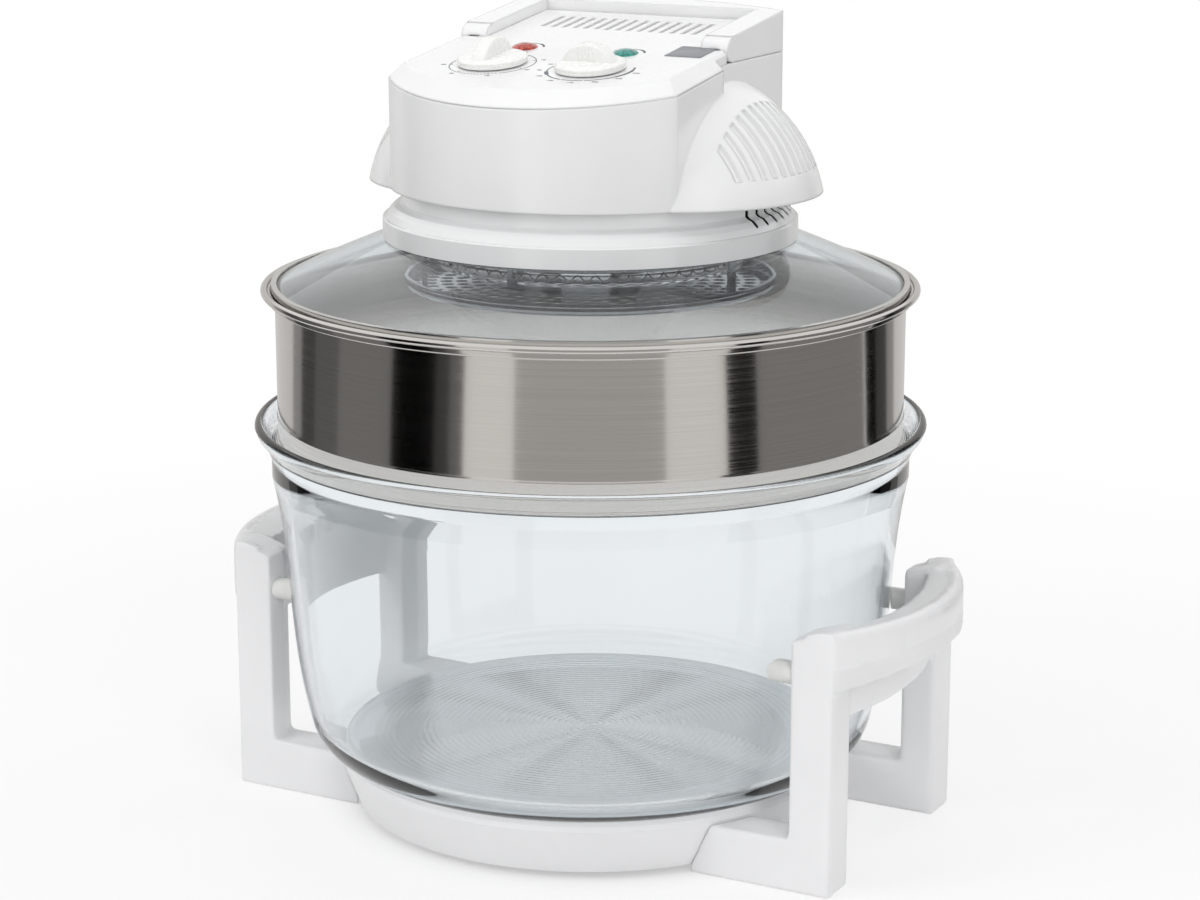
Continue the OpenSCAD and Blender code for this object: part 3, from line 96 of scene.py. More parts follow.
class Recipe:
    """A material under construction, with short calls for the nodes that the finishes use."""

    def __init__(self, name: str) -> None:
        """Starts a node material.

        Args:
            name: The material's name.
        """
        self.material = bpy.data.materials.new(name)
        self.material.use_nodes = True
        self.tree = self.material.node_tree
        self.shader = self.tree.nodes["Principled BSDF"]
        self.output = self.tree.nodes["Material Output"]
        self.place = self.node("TexCoord").outputs["Object"]

    def node(self, kind: str, **inputs: object) -> bpy.types.Node:
        """Adds a shader node.

        Args:
            kind: Its type, without the leading ShaderNode.
            inputs: A socket or a value for each named input, with _ for a space in a name.

        Returns:
            The node.
        """
        node = self.tree.nodes.new("ShaderNode" + kind)
        for key, value in inputs.items():
            socket = node.inputs[key.replace("_", " ")]
            if isinstance(value, bpy.types.NodeSocket):
                self.join(value, socket)
            else:
                socket.default_value = value
        return node

    def set(self, **sockets: object) -> None:
        """Writes constants on the shader's own sockets, with _ for a space in a name."""
        for key, value in sockets.items():
            self.shader.inputs[key.replace("_", " ")].default_value = value

    def join(self, source: object, target: object) -> None:
        """Links one socket to another."""
        self.tree.links.new(source, target)

    def feed(self, colour: object, roughness: object) -> None:
        """Links the shader's colour and roughness to their patterns."""
        self.join(colour, self.shader.inputs["Base Color"])
        self.join(roughness, self.shader.inputs["Roughness"])

    def math(self, kind: str, first: object, second: object = 0.0) -> object:
        """A maths node.

        Args:
            kind: The operation's name.
            first: A socket or a number.
            second: A socket or a number.

        Returns:
            The result's socket.
        """
        node = self.node("Math")
        node.operation = kind
        for slot, value in zip(node.inputs, (first, second)):
            if isinstance(value, (int, float)):
                slot.default_value = value
            else:
                self.join(value, slot)
        return node.outputs[0]

    def noise(self, scale: float, detail: float = 2.0, vector: object = None) -> object:
        """A noise pattern.

        Args:
            scale: Its frequency per metre.
            detail: Its octaves.
            vector: Where it is read, or None for the object's own place.

        Returns:
            The pattern's value socket.
        """
        node = self.node("TexNoise", Scale=scale, Detail=detail, Vector=vector or self.place)
        return node.outputs["Fac"]

    def ranged(self, value: object, span: Pair, result: Pair = (0.0, 1.0)) -> object:
        """Maps one span of values to another and holds its ends.

        Args:
            value: The value's socket.
            span: The values that are mapped.
            result: What they become.

        Returns:
            The mapped socket.
        """
        ends = {"From_Min": span[0], "From_Max": span[1], "To_Min": result[0], "To_Max": result[1]}
        return self.node("MapRange", Value=value, **ends).outputs["Result"]

    def spread(self, value: object, low: float, high: float) -> object:
        """Maps a pattern's usual span to the one from low to high."""
        return self.ranged(value, (PATTERN_LOW, PATTERN_HIGH), (low, high))

    def tint(self, value: object, dark: Colour, light: Colour) -> object:
        """Blends two colours by a pattern.

        Args:
            value: The pattern's socket, from 0 to 1.
            dark: The colour where the pattern is low.
            light: The colour where it is high.

        Returns:
            The colour socket.
        """
        node = self.node("ValToRGB", Fac=value)
        low, high = node.color_ramp.elements
        low.position, low.color = PATTERN_LOW, (*dark, 1.0)
        high.position, high.color = PATTERN_HIGH, (*light, 1.0)
        return node.outputs["Color"]

    def bump(self, height: object, strength: float, distance: float) -> None:
        """Adds relief, over any that is there.

        Args:
            height: The pattern's socket.
            strength: How much of it shows.
            distance: Its depth in metres.
        """
        node = self.node("Bump", Strength=strength, Distance=distance, Height=height)
        for link in list(self.shader.inputs["Normal"].links):
            self.join(link.from_socket, node.inputs["Normal"])
        self.join(node.outputs["Normal"], self.shader.inputs["Normal"])

    def axes(self) -> tuple[object, object, object]:
        """The object's own X, Y and Z, as sockets."""
        return tuple(self.node("SeparateXYZ", Vector=self.place).outputs)

    def radius(self) -> object:
        """The distance from the Z axis, as a socket."""
        x, y, _ = self.axes()
        squares = self.math("ADD", self.math("MULTIPLY", x, x), self.math("MULTIPLY", y, y))
        return self.math("SQRT", squares)

    def profile(self, points: tuple[Pair, ...]) -> object:
        """A turned outline's radius at each height.

        Args:
            points: Heights and radii in millimetres, from the lowest up.

        Returns:
            The radius's socket, in metres.
        """
        low, high = points[0][0] * MM, points[-1][0] * MM
        above = self.math("SUBTRACT", self.axes()[2], low)
        ramp = self.node("ValToRGB", Fac=self.math("DIVIDE", above, high - low))
        stops = ramp.color_ramp.elements
        for height, _ in points[1:-1]:
            stops.new((height * MM - low) / (high - low))
        for stop, (_, radius) in zip(stops, points):
            stop.color = (radius * MM, radius * MM, radius * MM, 1.0)
        return ramp.outputs["Color"]

    def turned_place(self, round_scale: float, cross_scale: float) -> object:
        """Coordinates that run round the Z axis, for lines left by turning or brushing.

        Args:
            round_scale: Frequency along the lines.
            cross_scale: Frequency across them, per metre.

        Returns:
            The vector socket.
        """
        x, y, z = self.axes()
        angle = self.math("ARCTAN2", y, x)
        whole = self.node(
            "CombineXYZ",
            X=self.math("MULTIPLY", self.math("COSINE", angle), round_scale),
            Y=self.math("MULTIPLY", self.math("SINE", angle), round_scale),
            Z=self.math("MULTIPLY", self.math("ADD", z, self.radius()), cross_scale),
        )
        return whole.outputs[0]


def scaled(colour: Colour, factor: float) -> Colour:
    """A colour made lighter or darker, kept within white."""
    return tuple(min(1.0, channel * factor) for channel in colour)


@dataclass(frozen=True)
class MouldedPlastic:
    """Injection-moulded plastic with a faint ripple and a soft gloss, and painted shade below a
    skin where one is given.
    """

    name: str
    colour: Colour
    roughness: float = 0.28
    ripple: float = 0.05
    coat: float = 0.15
    edge: float = 0.0
    # Heights and radii below which the colour is darkened as painted shade in slots and hollows.
    skin: tuple[Pair, ...] = ()

    def make(self) -> bpy.types.Material:
        """Builds the material."""
        mix = Recipe(self.name)
        cloud = mix.noise(35.0, 3.0)
        surface = mix.tint(cloud, scaled(self.colour, 0.982), self.colour)
        # Painted shade: inside the skin's radius, slot walls and hollows keep only a small share of
        # the colour.
        if self.skin:
            outside = mix.math("GREATER_THAN", mix.radius(), mix.profile(self.skin))
            shade = mix.node("VectorMath")
            shade.operation = "SCALE"
            mix.join(surface, shade.inputs[0])
            mix.join(mix.math("MAXIMUM", outside, SLOT_PAINTED_SHADE), shade.inputs["Scale"])
            surface = shade.outputs[0]
        if self.edge > 0.0:
            rounded = mix.node("Bevel", Radius=self.edge * MM)
            rounded.samples = EDGE_SAMPLES
            mix.join(rounded.outputs[0], mix.shader.inputs["Normal"])
        speck = mix.noise(420.0, 2.0)
        mix.feed(surface, mix.spread(speck, self.roughness - 0.03, self.roughness + 0.04))
        mix.set(IOR=1.5, Coat_Weight=self.coat, Coat_Roughness=0.08)
        mix.bump(mix.noise(700.0, 2.0), self.ripple, 0.0002)
        mix.bump(mix.noise(60.0, 1.0), self.ripple, 0.0006)
        return mix.material


@dataclass(frozen=True)
class ClearGlass:
    """Pressed or drawn glass with a slight tint and faint waves."""

    name: str
    colour: Colour = (0.975, 0.99, 0.985)
    roughness: float = 0.0
    wave: float = 0.03
    ior: float = 1.47
    depth_tint: Colour = (0.76, 0.82, 0.845)
    density: float = 0.0

    def make(self) -> bpy.types.Material:
        """Builds the material."""
        mix = Recipe(self.name)
        if self.density > 0.0:
            tint = (*self.depth_tint, 1.0)
            inside = mix.node("VolumeAbsorption", Color=tint, Density=self.density)
            mix.join(inside.outputs[0], mix.output.inputs["Volume"])
        cloud = mix.noise(14.0, 1.0)
        film = mix.noise(30.0, 3.0)
        mix.feed(
            mix.tint(cloud, scaled(self.colour, 0.992), self.colour),
            mix.spread(film, self.roughness, self.roughness + 0.012),
        )
        mix.set(IOR=self.ior, Transmission_Weight=1.0)
        mix.bump(mix.noise(22.0, 1.0), self.wave, 0.0008)
        return mix.material


@dataclass(frozen=True)
class SheetMetal:
    """Bare or plated metal with brushing or rolling lines."""

    name: str
    colour: Colour
    roughness: float = 0.2
    grain: Grain = Grain.NONE
    streak: float = 0.06
    anisotropy: float = 0.0

    def make(self) -> bpy.types.Material:
        """Builds the material."""
        mix = Recipe(self.name)
        where = mix.place
        scale = 260.0
        if self.grain is Grain.ROUND:
            where = mix.turned_place(0.9, 2400.0)
            scale = 1.0
        elif self.grain is Grain.ALONG:
            where = mix.node("Mapping", Vector=mix.place, Scale=(0.02, 1.0, 1.0)).outputs["Vector"]
            scale = 1200.0
        lines = mix.noise(scale, 4.0, where)
        mix.feed(
            mix.tint(lines, scaled(self.colour, 0.93), self.colour),
            mix.spread(lines, self.roughness, self.roughness + 0.08),
        )
        mix.set(Metallic=1.0, Anisotropic=self.anisotropy, Anisotropic_Rotation=0.25)
        if self.anisotropy > 0.0:
            tangent = mix.node("Tangent")
            tangent.direction_type = "RADIAL"
            tangent.axis = "Z"
            mix.join(tangent.outputs[0], mix.shader.inputs["Tangent"])
        mix.bump(lines, self.streak, 0.0001)
        return mix.material


@dataclass(frozen=True)
class MattPowder:
    """Rubber, ceramic, board or enamel: a dull surface with a fine tooth."""

    name: str
    colour: Colour
    roughness: float = 0.7
    tooth: float = 0.15
    tooth_scale: float = 900.0

    def make(self) -> bpy.types.Material:
        """Builds the material."""
        mix = Recipe(self.name)
        cloud = mix.noise(90.0, 4.0)
        grit = mix.noise(self.tooth_scale, 3.0)
        mix.feed(
            mix.tint(cloud, scaled(self.colour, 0.9), self.colour),
            mix.spread(grit, self.roughness - 0.05, self.roughness + 0.08),
        )
        mix.set(IOR=1.45)
        mix.bump(grit, self.tooth, 0.0002)
        return mix.material


@dataclass(frozen=True)
class LensPlastic:
    """Coloured see-through plastic with a ribbed underside, whose sparkle is painted as lighter
    spots of colour.
    """

    name: str
    colour: Colour
    glow: Colour

    def make(self) -> bpy.types.Material:
        """Builds the material."""
        mix = Recipe(self.name)
        cells = mix.node("TexVoronoi", Scale=620.0, Vector=mix.place)
        # Painted glints: the centres of small cells take the lighter colour.
        glint_spots = mix.math("SUBTRACT", 1.0, cells.outputs["Distance"])
        mix.feed(mix.tint(glint_spots, self.colour, self.glow), mix.spread(mix.noise(200.0), 0.08, 0.14))
        mix.set(IOR=1.5, Transmission_Weight=0.1, Coat_Weight=0.6, Coat_Roughness=0.03)
        mix.bump(cells.outputs["Distance"], 0.25, 0.0004)
        return mix.material


FINISHES = {finish.name: finish for finish in (
    MouldedPlastic("stand_plastic", (0.92, 0.92, 0.93), 0.32, 0.06, 0.1),
    MouldedPlastic("head_plastic", (0.895, 0.895, 0.9), 0.2, 0.04, 0.3, 2.0),
    # The collar's finish paints shade into its slots' walls and its inside.
    MouldedPlastic("collar_plastic", (0.86, 0.865, 0.87), 0.16, 0.04, 0.4, skin=COLLAR_SHADE_SKIN),
    MouldedPlastic("knob_plastic", (0.92, 0.92, 0.9), 0.25, 0.04, 0.2),
    MattPowder("pad_rubber", (0.86, 0.86, 0.84), 0.5, 0.1),
    MattPowder("seal_rubber", (0.5, 0.5, 0.48), 0.6, 0.15),
    ClearGlass("bowl_glass", (0.98, 0.985, 0.99), density=52.0),
    ClearGlass("lid_glass", (0.96, 0.97, 0.975), density=80.0),
    SheetMetal("ring_steel", (0.64, 0.62, 0.595), 0.1, Grain.ROUND, 0.03, 0.6),
    SheetMetal("band_steel", (0.7, 0.69, 0.67), 0.1, Grain.ROUND, 0.02, 0.3),
    # Painted reflection: the guards' and the shield's metal is given a colour darker than bare
    # steel, standing for the dark surroundings they mirror.
    SheetMetal("guard_steel", (0.27, 0.275, 0.28), 0.1, Grain.NONE, 0.04),
    SheetMetal("dark_reflection_steel", (0.12, 0.125, 0.13), 0.12, Grain.NONE, 0.04),
    SheetMetal("screw_steel", (0.62, 0.62, 0.6), 0.28, Grain.NONE, 0.1),
    SheetMetal("bracket_steel", (0.6, 0.62, 0.64), 0.35, Grain.ALONG, 0.1),
    SheetMetal("stack_iron", (0.3, 0.3, 0.32), 0.42, Grain.ALONG, 0.3),
    MattPowder("coil_copper", (0.42, 0.17, 0.08), 0.35, 0.3, 500.0),
    SheetMetal("bush_bronze", (0.55, 0.4, 0.2), 0.35, Grain.ROUND, 0.1),
    SheetMetal("fan_aluminium", (0.75, 0.75, 0.76), 0.3, Grain.ROUND, 0.1),
    LensPlastic("red_lens", (0.3, 0.012, 0.004), (0.62, 0.05, 0.008)),
    LensPlastic("green_lens", (0.0, 0.16, 0.13), (0.01, 0.36, 0.3)),
    ClearGlass("glow_lamp", (0.95, 0.75, 0.6), 0.02),
    MouldedPlastic("unit_plastic", (0.72, 0.72, 0.68), 0.5, 0.1, 0.0),
    MouldedPlastic("dark_plastic", (0.03, 0.03, 0.032), 0.4, 0.1, 0.0),
    MattPowder("ceramic", (0.82, 0.79, 0.72), 0.55, 0.1),
    MattPowder("insulation", (0.78, 0.74, 0.64), 0.9, 0.4, 500.0),
    ClearGlass("quartz", (0.97, 0.97, 0.97), 0.0, 0.02, 1.46),
    MattPowder("print_ink", (0.13, 0.14, 0.16), 0.5, 0.05),
    SheetMetal("plate_foil", (0.3, 0.31, 0.335), 0.3, Grain.ALONG, 0.06),
    SheetMetal("tungsten", (0.35, 0.34, 0.33), 0.45, Grain.NONE, 0.1),
)}


class Palette:
    """Makes each finish once and hands it out."""

    def __init__(self) -> None:
        """Starts with nothing made."""
        self.made: dict[str, bpy.types.Material] = {}

    def get(self, slot: str) -> bpy.types.Material:
        """The material of a slot, made when it is first asked for."""
        if slot not in self.made:
            self.made[slot] = FINISHES[slot].make()
        return self.made[slot]

    def dress(self, piece: bpy.types.Object, slot: str) -> None:
        """Gives a whole piece the finish of a slot.

        Args:
            piece: The object.
            slot: The finish's name.
        """
        material = self.get(slot)
        if not piece.material_slots:
            piece.data.materials.append(material)
        for place in piece.material_slots:
            place.material = material


PALETTE = Palette()


# The studio


@dataclass(frozen=True)
class Card:
    """A curved card round the object: where it starts, what it covers and how bright it is."""

    name: str
    start: float
    sweep: float
    level: float


@dataclass(frozen=True)
class Lamp:
    """A soft rectangular lamp: its place, width and height in metres, and its power in watts."""

    name: str
    place: Point
    width: float
    height: float
    power: float


@dataclass
class Studio:
    """The pale floor, the soft lamps, the world and the camera."""

    target: Point = (0.0, 0.0, 0.2)
    camera_place: Point = (0.698, -1.270, 0.5393)
    camera_turn: Point = (76.11, 0.0, 28.61)
    lens: float = 89.6
    ambient: float = 0.31
    card_r: float = 0.5
    card_top: float = 0.42
    card_t: float = 0.002
    card_step: float = 3.0
    card_tone: Colour = (1.0, 0.985, 0.965)
    floor_size: float = 8.0
    floor_drop: float = 0.0002
    contact_shade: Pair = (0.07, 0.14)
    near_shade: Pair = (0.3, 0.8)
    near_level: float = 0.75
    lamps: tuple[Lamp, ...] = (
        Lamp("front_left", (-1.5, -1.9, 1.5), 1.3, 1.6, 20.6),
        Lamp("front_right", (1.9, -1.5, 1.1), 0.9, 1.5, 18.0),
        Lamp("top", (0.0, -0.2, 2.2), 1.8, 1.8, 19.5),
        Lamp("back", (0.6, 2.1, 1.2), 1.6, 1.2, 11.5),
    )
    cards: tuple[Card, ...] = (
        Card("black_left", -125.8, 16.0, 0.0),
        Card("dim_left", -109.8, 5.0, 0.05),
        Card("shade_left", -104.8, 4.8, 0.14),
        Card("strip_left", -100.0, 16.0, 0.84),
        Card("table_front", -84.0, 45.0, 0.47),
        Card("strip_right", -39.0, 19.5, 0.82),
        Card("black_right", -19.5, 10.5, 0.015),
        Card("grey_right", -9.0, 49.0, 0.25),
        Card("black_back", 41.0, 7.5, 0.0),
        Card("dim_back", 48.5, 9.5, 0.06),
        Card("shade_back", 58.0, 8.0, 0.3),
        Card("white_back", 66.0, 112.0, 0.66),
        Card("shade_far", 178.0, 8.0, 0.3),
        Card("black_far", 186.0, 10.0, 0.07),
        Card("dim_far", 196.0, 14.0, 0.13),
        Card("grey_left", 210.0, 24.2, 0.21),
    )

    def build(self) -> None:
        """Sets up the whole studio."""
        self.place_camera()
        self.make_world()
        self.make_floor()
        for lamp in self.lamps:
            self.add_lamp(lamp)
        for card in self.cards:
            self.stand_card(card)

    def place_camera(self) -> None:
        """Stands the camera where the photograph was taken."""
        data = bpy.data.cameras.new("camera")
        data.lens = self.lens
        data.sensor_width = 36.0
        data.clip_start = 0.05
        camera = bpy.data.objects.new("camera", data)
        camera.location = self.camera_place
        camera.rotation_euler = [math.radians(angle) for angle in self.camera_turn]
        bpy.context.scene.collection.objects.link(camera)
        bpy.context.scene.camera = camera

    def make_world(self) -> None:
        """A white surround for what is seen, and a weaker one for the light it gives."""
        world = bpy.data.worlds.new("studio")
        world.use_nodes = True
        tree = world.node_tree
        back = tree.nodes["Background"]
        path = tree.nodes.new("ShaderNodeLightPath")
        seen = path.outputs["Is Camera Ray"]
        for ray in ("Is Transmission Ray", "Is Glossy Ray"):
            either = tree.nodes.new("ShaderNodeMath")
            either.operation = "MAXIMUM"
            tree.links.new(seen, either.inputs[0])
            tree.links.new(path.outputs[ray], either.inputs[1])
            seen = either.outputs[0]
        level = tree.nodes.new("ShaderNodeMapRange")
        level.inputs["To Min"].default_value = self.ambient
        tree.links.new(seen, level.inputs["Value"])
        tree.links.new(level.outputs["Result"], back.inputs["Strength"])
        back.inputs["Color"].default_value = WHITE
        bpy.context.scene.world = world

    def make_floor(self) -> None:
        """A wide pale floor that keeps the object's shadow."""
        Bench.clear()
        place = (0.0, 0.0, -self.floor_drop)
        bpy.ops.mesh.primitive_plane_add(size=self.floor_size, location=place)
        floor = bpy.context.active_object
        floor.name = "floor"
        mix = Recipe("floor")
        cloud = mix.noise(3.0, 2.0)
        tone = mix.tint(cloud, (0.9, 0.9, 0.9), (0.92, 0.92, 0.92))
        mix.join(tone, mix.shader.inputs["Base Color"])
        mix.set(Roughness=0.9)
        rays = mix.node("LightPath").outputs
        seen = mix.math("MAXIMUM", rays["Is Camera Ray"], rays["Is Transmission Ray"])
        seen = mix.math("MAXIMUM", seen, rays["Is Glossy Ray"])
        reach = mix.node("VectorMath")
        reach.operation = "LENGTH"
        mix.join(mix.place, reach.inputs[0])
        white = mix.ranged(reach.outputs["Value"], self.near_shade, (self.near_level, 1.0))
        under = mix.ranged(reach.outputs["Value"], self.contact_shade)
        share = mix.math("MULTIPLY", seen, mix.math("MULTIPLY", white, under))
        lit = mix.node("Emission", Color=WHITE)
        blend = mix.node("MixShader")
        mix.join(share, blend.inputs[0])
        mix.join(mix.shader.outputs[0], blend.inputs[1])
        mix.join(lit.outputs[0], blend.inputs[2])
        mix.join(blend.outputs[0], mix.output.inputs["Surface"])
        floor.data.materials.append(mix.material)

    def stand_card(self, card: Card) -> None:
        """Stands a curved card round the object, which only polished surfaces mirror.

        Args:
            card: The card.
        """
        size = (self.card_t, self.card_top)
        piece = Bench.swept(size, self.card_r, card.start, card.sweep, self.card_step)
        piece.name = card.name
        mix = Recipe(card.name)
        lit = mix.node("Emission", Color=(*self.card_tone, 1.0), Strength=card.level)
        mix.join(lit.outputs[0], mix.output.inputs["Surface"])
        piece.data.materials.append(mix.material)
        for ray in ("camera", "diffuse", "transmission", "volume_scatter", "shadow"):
            setattr(piece, "visible_" + ray, False)

    def add_lamp(self, lamp: Lamp) -> None:
        """Hangs a lamp, aimed at the object and not seen in polished surfaces or through glass.

        Args:
            lamp: The lamp.
        """
        data = bpy.data.lights.new(lamp.name, "AREA")
        data.shape = "RECTANGLE"
        data.size, data.size_y = lamp.width, lamp.height
        data.energy = lamp.power
        piece = bpy.data.objects.new(lamp.name, data)
        piece.location = lamp.place
        aim = Vector(self.target) - Vector(lamp.place)
        piece.rotation_euler = aim.to_track_quat("-Z", "Y").to_euler()
        piece.visible_glossy = False
        piece.visible_transmission = False
        bpy.context.scene.collection.objects.link(piece)


# Modelling moves that the sub-assemblies share


class Bench:
    """Modelling moves, done with the same operators as by hand."""

    @staticmethod
    def clear() -> None:
        """Leaves edit mode and deselects every object."""
        if bpy.context.mode != "OBJECT":
            bpy.ops.object.mode_set(mode="OBJECT")
        bpy.ops.object.select_all(action="DESELECT")

    @staticmethod
    def pick(piece: bpy.types.Object) -> None:
        """Selects one piece alone and makes it the active one."""
        Bench.clear()
        piece.select_set(True)
        bpy.context.view_layer.objects.active = piece

    @staticmethod
    def settle() -> None:
        """Puts the active piece's place, turn and size into its mesh."""
        bpy.ops.object.transform_apply(location=True, rotation=True, scale=True)

    @staticmethod
    def edit() -> None:
        """Enters edit mode with everything selected."""
        bpy.ops.object.mode_set(mode="EDIT")
        bpy.ops.mesh.select_all(action="SELECT")

    @staticmethod
    def close(weld: float = 0.0) -> None:
        """Merges doubles, turns all faces outwards and leaves edit mode.

        Args:
            weld: How near two vertices are merged, in metres, or 0 to merge none.
        """
        bpy.ops.mesh.select_all(action="SELECT")
        if weld > 0.0:
            bpy.ops.mesh.remove_doubles(threshold=weld)
            bpy.ops.mesh.select_all(action="SELECT")
        bpy.ops.mesh.normals_make_consistent(inside=False)
        bpy.ops.object.mode_set(mode="OBJECT")

    @staticmethod
    def finish(
        piece: bpy.types.Object, name: str, body: str, slot: str, smooth: float = 35.0
    ) -> None:
        """Settles a piece: its place goes into its mesh, and it gets its name, body and finish.

        Args:
            piece: The object.
            name: Its name.
            body: The body it rides on.
            slot: The finish's slot.
            smooth: The angle in degrees below which edges shade smoothly.
        """
        Bench.pick(piece)
        piece.name = name
        piece.data.name = name
        Bench.settle()
        bpy.ops.object.shade_smooth_by_angle(angle=math.radians(smooth))
        PALETTE.dress(piece, slot)
        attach(piece, body)
        LOG.info("made %s: %d faces on %s", name, len(piece.data.polygons), body)

    @staticmethod
    def section_chain(points: Section) -> bpy.types.Object:
        """Draws a closed section in the XZ plane, one extruded vertex after another.

        Args:
            points: Its corners as (radius, height) in millimetres.

        Returns:
            The object, in edit mode with its whole outline selected.
        """
        Bench.clear()
        start = (points[0][0] * MM, 0.0, points[0][1] * MM)
        bpy.ops.mesh.primitive_plane_add(size=0.001, location=start)
        piece = bpy.context.active_object
        Bench.settle()
        bpy.ops.object.mode_set(mode="EDIT")
        bpy.ops.mesh.select_mode(type="VERT")
        bpy.ops.mesh.select_all(action="SELECT")
        bpy.ops.mesh.merge(type="CENTER")
        last = points[0]
        for radius, height in [*points[1:], points[0]]:
            step = ((radius - last[0]) * MM, 0.0, (height - last[1]) * MM)
            bpy.ops.mesh.extrude_vertices_move(TRANSFORM_OT_translate={"value": step})
            last = (radius, height)
        bpy.ops.mesh.select_all(action="SELECT")
        bpy.ops.mesh.remove_doubles(threshold=CHAIN_WELD)
        bpy.ops.mesh.select_all(action="SELECT")
        return piece

    @staticmethod
    def turned(points: Section, steps: int = 192) -> bpy.types.Object:
        """Turns a closed section round the Z axis.

        Args:
            points: The section as (radius, height) in millimetres.
            steps: How many steps the full turn has.

        Returns:
            The turned object, in object mode.
        """
        piece = Bench.section_chain(points)
        bpy.ops.mesh.spin(steps=steps, angle=2 * math.pi, center=(0, 0, 0), axis=(0, 0, 1))
        Bench.close(TURN_WELD)
        return piece

    @staticmethod
    def swept(
        size: Pair, radius: float, start: float, sweep: float, step: float
    ) -> bpy.types.Object:
        """A strip that stands on the XY plane and curves round the Z axis.

        Args:
            size: Its thickness outwards and its height, in metres.
            radius: Its middle radius in metres.
            start: The angle in degrees where it starts.
            sweep: The angle that it covers.
            step: The angle of one facet.

        Returns:
            The object, in object mode.
        """
        Bench.clear()
        bpy.ops.mesh.primitive_plane_add(size=1.0)
        piece = bpy.context.active_object
        piece.scale = (*size, 1.0)
        piece.rotation_euler = (math.pi / 2, 0.0, 0.0)
        piece.location = (radius, 0.0, size[1] / 2)
        Bench.settle()
        Bench.edit()
        steps = max(2, round(sweep / step))
        bpy.ops.mesh.spin(steps=steps, angle=math.radians(sweep), center=(0, 0, 0), axis=(0, 0, -1))
        Bench.close()
        piece.matrix_world = Matrix.Rotation(math.radians(start), 4, "Z")
        Bench.settle()
        return piece

    @staticmethod
    def arc(radius: float, width: float, start: float, sweep: float) -> bpy.types.Object:
        """A printed arc round the Z axis, with its radius and width in millimetres."""
        return Bench.swept((width * MM, INK * MM), radius * MM, start, sweep, ARC_STEP)

    @staticmethod
    def block(size: Point, place: Point, bevel: float = 0.0, segments: int = 2) -> bpy.types.Object:
        """A block with its edges rounded.

        Args:
            size: Its sides in millimetres.
            place: Its centre in millimetres.
            bevel: How far its edges are rounded.
            segments: How many steps the rounds have.

        Returns:
            The object, in object mode.
        """
        Bench.clear()
        bpy.ops.mesh.primitive_cube_add(size=1.0)
        piece = bpy.context.active_object
        piece.scale = [side * MM for side in size]
        piece.location = [value * MM for value in place]
        Bench.settle()
        if bevel > 0.0:
            Bench.edit()
            bpy.ops.mesh.bevel(offset=bevel * MM, segments=segments, affect="EDGES")
            bpy.ops.object.mode_set(mode="OBJECT")
        return piece

    @staticmethod
    def numeral(text: str, size: float) -> bpy.types.Object:
        """A printed number that lies on the XY plane, centred on the origin.

        Args:
            text: The number.
            size: Its height in millimetres.

        Returns:
            The object, in object mode.
        """
        Bench.clear()
        bpy.ops.object.text_add()
        piece = bpy.context.active_object
        piece.data.body = text
        piece.data.size = size * MM * TEXT_SCALE
        piece.data.extrude = INK * MM / 2
        piece.data.align_x = "CENTER"
        piece.data.align_y = "CENTER"
        piece.data.resolution_u = 3
        bpy.ops.object.convert(target="MESH")
        piece = bpy.context.active_object
        piece.location = (0.0, 0.0, INK * MM / 2)
        Bench.settle()
        return piece

    @staticmethod
    def soften(node: bpy.types.Object, voxel: float, passes: int) -> bpy.types.Object:
        """A copy of a solid with all its edges rounded, as a thick moulding has.

        Args:
            node: The solid.
            voxel: The grain of its new skin in millimetres.
            passes: How often the skin is smoothed; each pass rounds the edges a little more.

        Returns:
            The rounded copy, in object mode.
        """
        Bench.pick(node)
        bpy.ops.object.duplicate(linked=False)
        piece = bpy.context.active_object
        for key in list(piece.keys()):
            del piece[key]
        Bench.edit()
        bpy.ops.mesh.remove_doubles(threshold=SOLID_WELD)
        bpy.ops.object.mode_set(mode="OBJECT")
        piece.data.remesh_voxel_size = voxel * MM
        piece.data.remesh_voxel_adaptivity = 0.0
        bpy.ops.object.voxel_remesh()
        smooth = piece.modifiers.new("smooth", "SMOOTH")
        smooth.factor = 0.5
        smooth.iterations = passes
        bpy.ops.object.modifier_apply(modifier=smooth.name)
        return piece

    @staticmethod
    def copy(piece: bpy.types.Object, move: Matrix) -> bpy.types.Object:
        """A moved copy of a piece, with its own mesh.

        Args:
            piece: The piece to copy.
            move: Where the copy goes.

        Returns:
            The copy, settled in its place.
        """
        Bench.pick(piece)
        bpy.ops.object.duplicate(linked=False)
        twin = bpy.context.active_object
        Bench.move(twin, move)
        return twin

    @staticmethod
    def move(piece: bpy.types.Object, move: Matrix) -> None:
        """Moves a piece and settles its place into its mesh."""
        Bench.pick(piece)
        piece.matrix_world = move @ piece.matrix_world
        Bench.settle()

    @staticmethod
    def join(pieces: list[bpy.types.Object]) -> bpy.types.Object:
        """Joins several pieces into one object."""
        Bench.clear()
        for piece in pieces:
            piece.select_set(True)
        bpy.context.view_layer.objects.active = pieces[0]
        if len(pieces) > 1:
            bpy.ops.object.join()
        return bpy.context.active_object


def fillet(points: Sequence[Pair], radii: dict[int, float], steps: int = 4) -> Section:
    """Rounds chosen corners of a closed section.

    Args:
        points: The corners.
        radii: The radius for each corner that is rounded, by its place in the list.
        steps: How many steps each round has.

    Returns:
        The section with its rounds.
    """
    result: Section = []
    count = len(points)
    for index, corner in enumerate(points):
        radius = radii.get(index, 0.0)
        here = Vector(corner)
        before = Vector(points[index - 1]) - here
        after = Vector(points[(index + 1) % count]) - here
        if radius <= 0.0:
            result.append(corner)
            continue
        half = before.angle(after) / 2
        reach = min(radius / math.tan(half), before.length * 0.49, after.length * 0.49)
        start = here + before.normalized() * reach
        end = here + after.normalized() * reach
        for step in range(steps + 1):
            share = step / steps
            point = start * (1 - share) ** 2 + here * 2 * share * (1 - share) + end * share**2
            result.append((point.x, point.y))
    return result


# Sub-assemblies


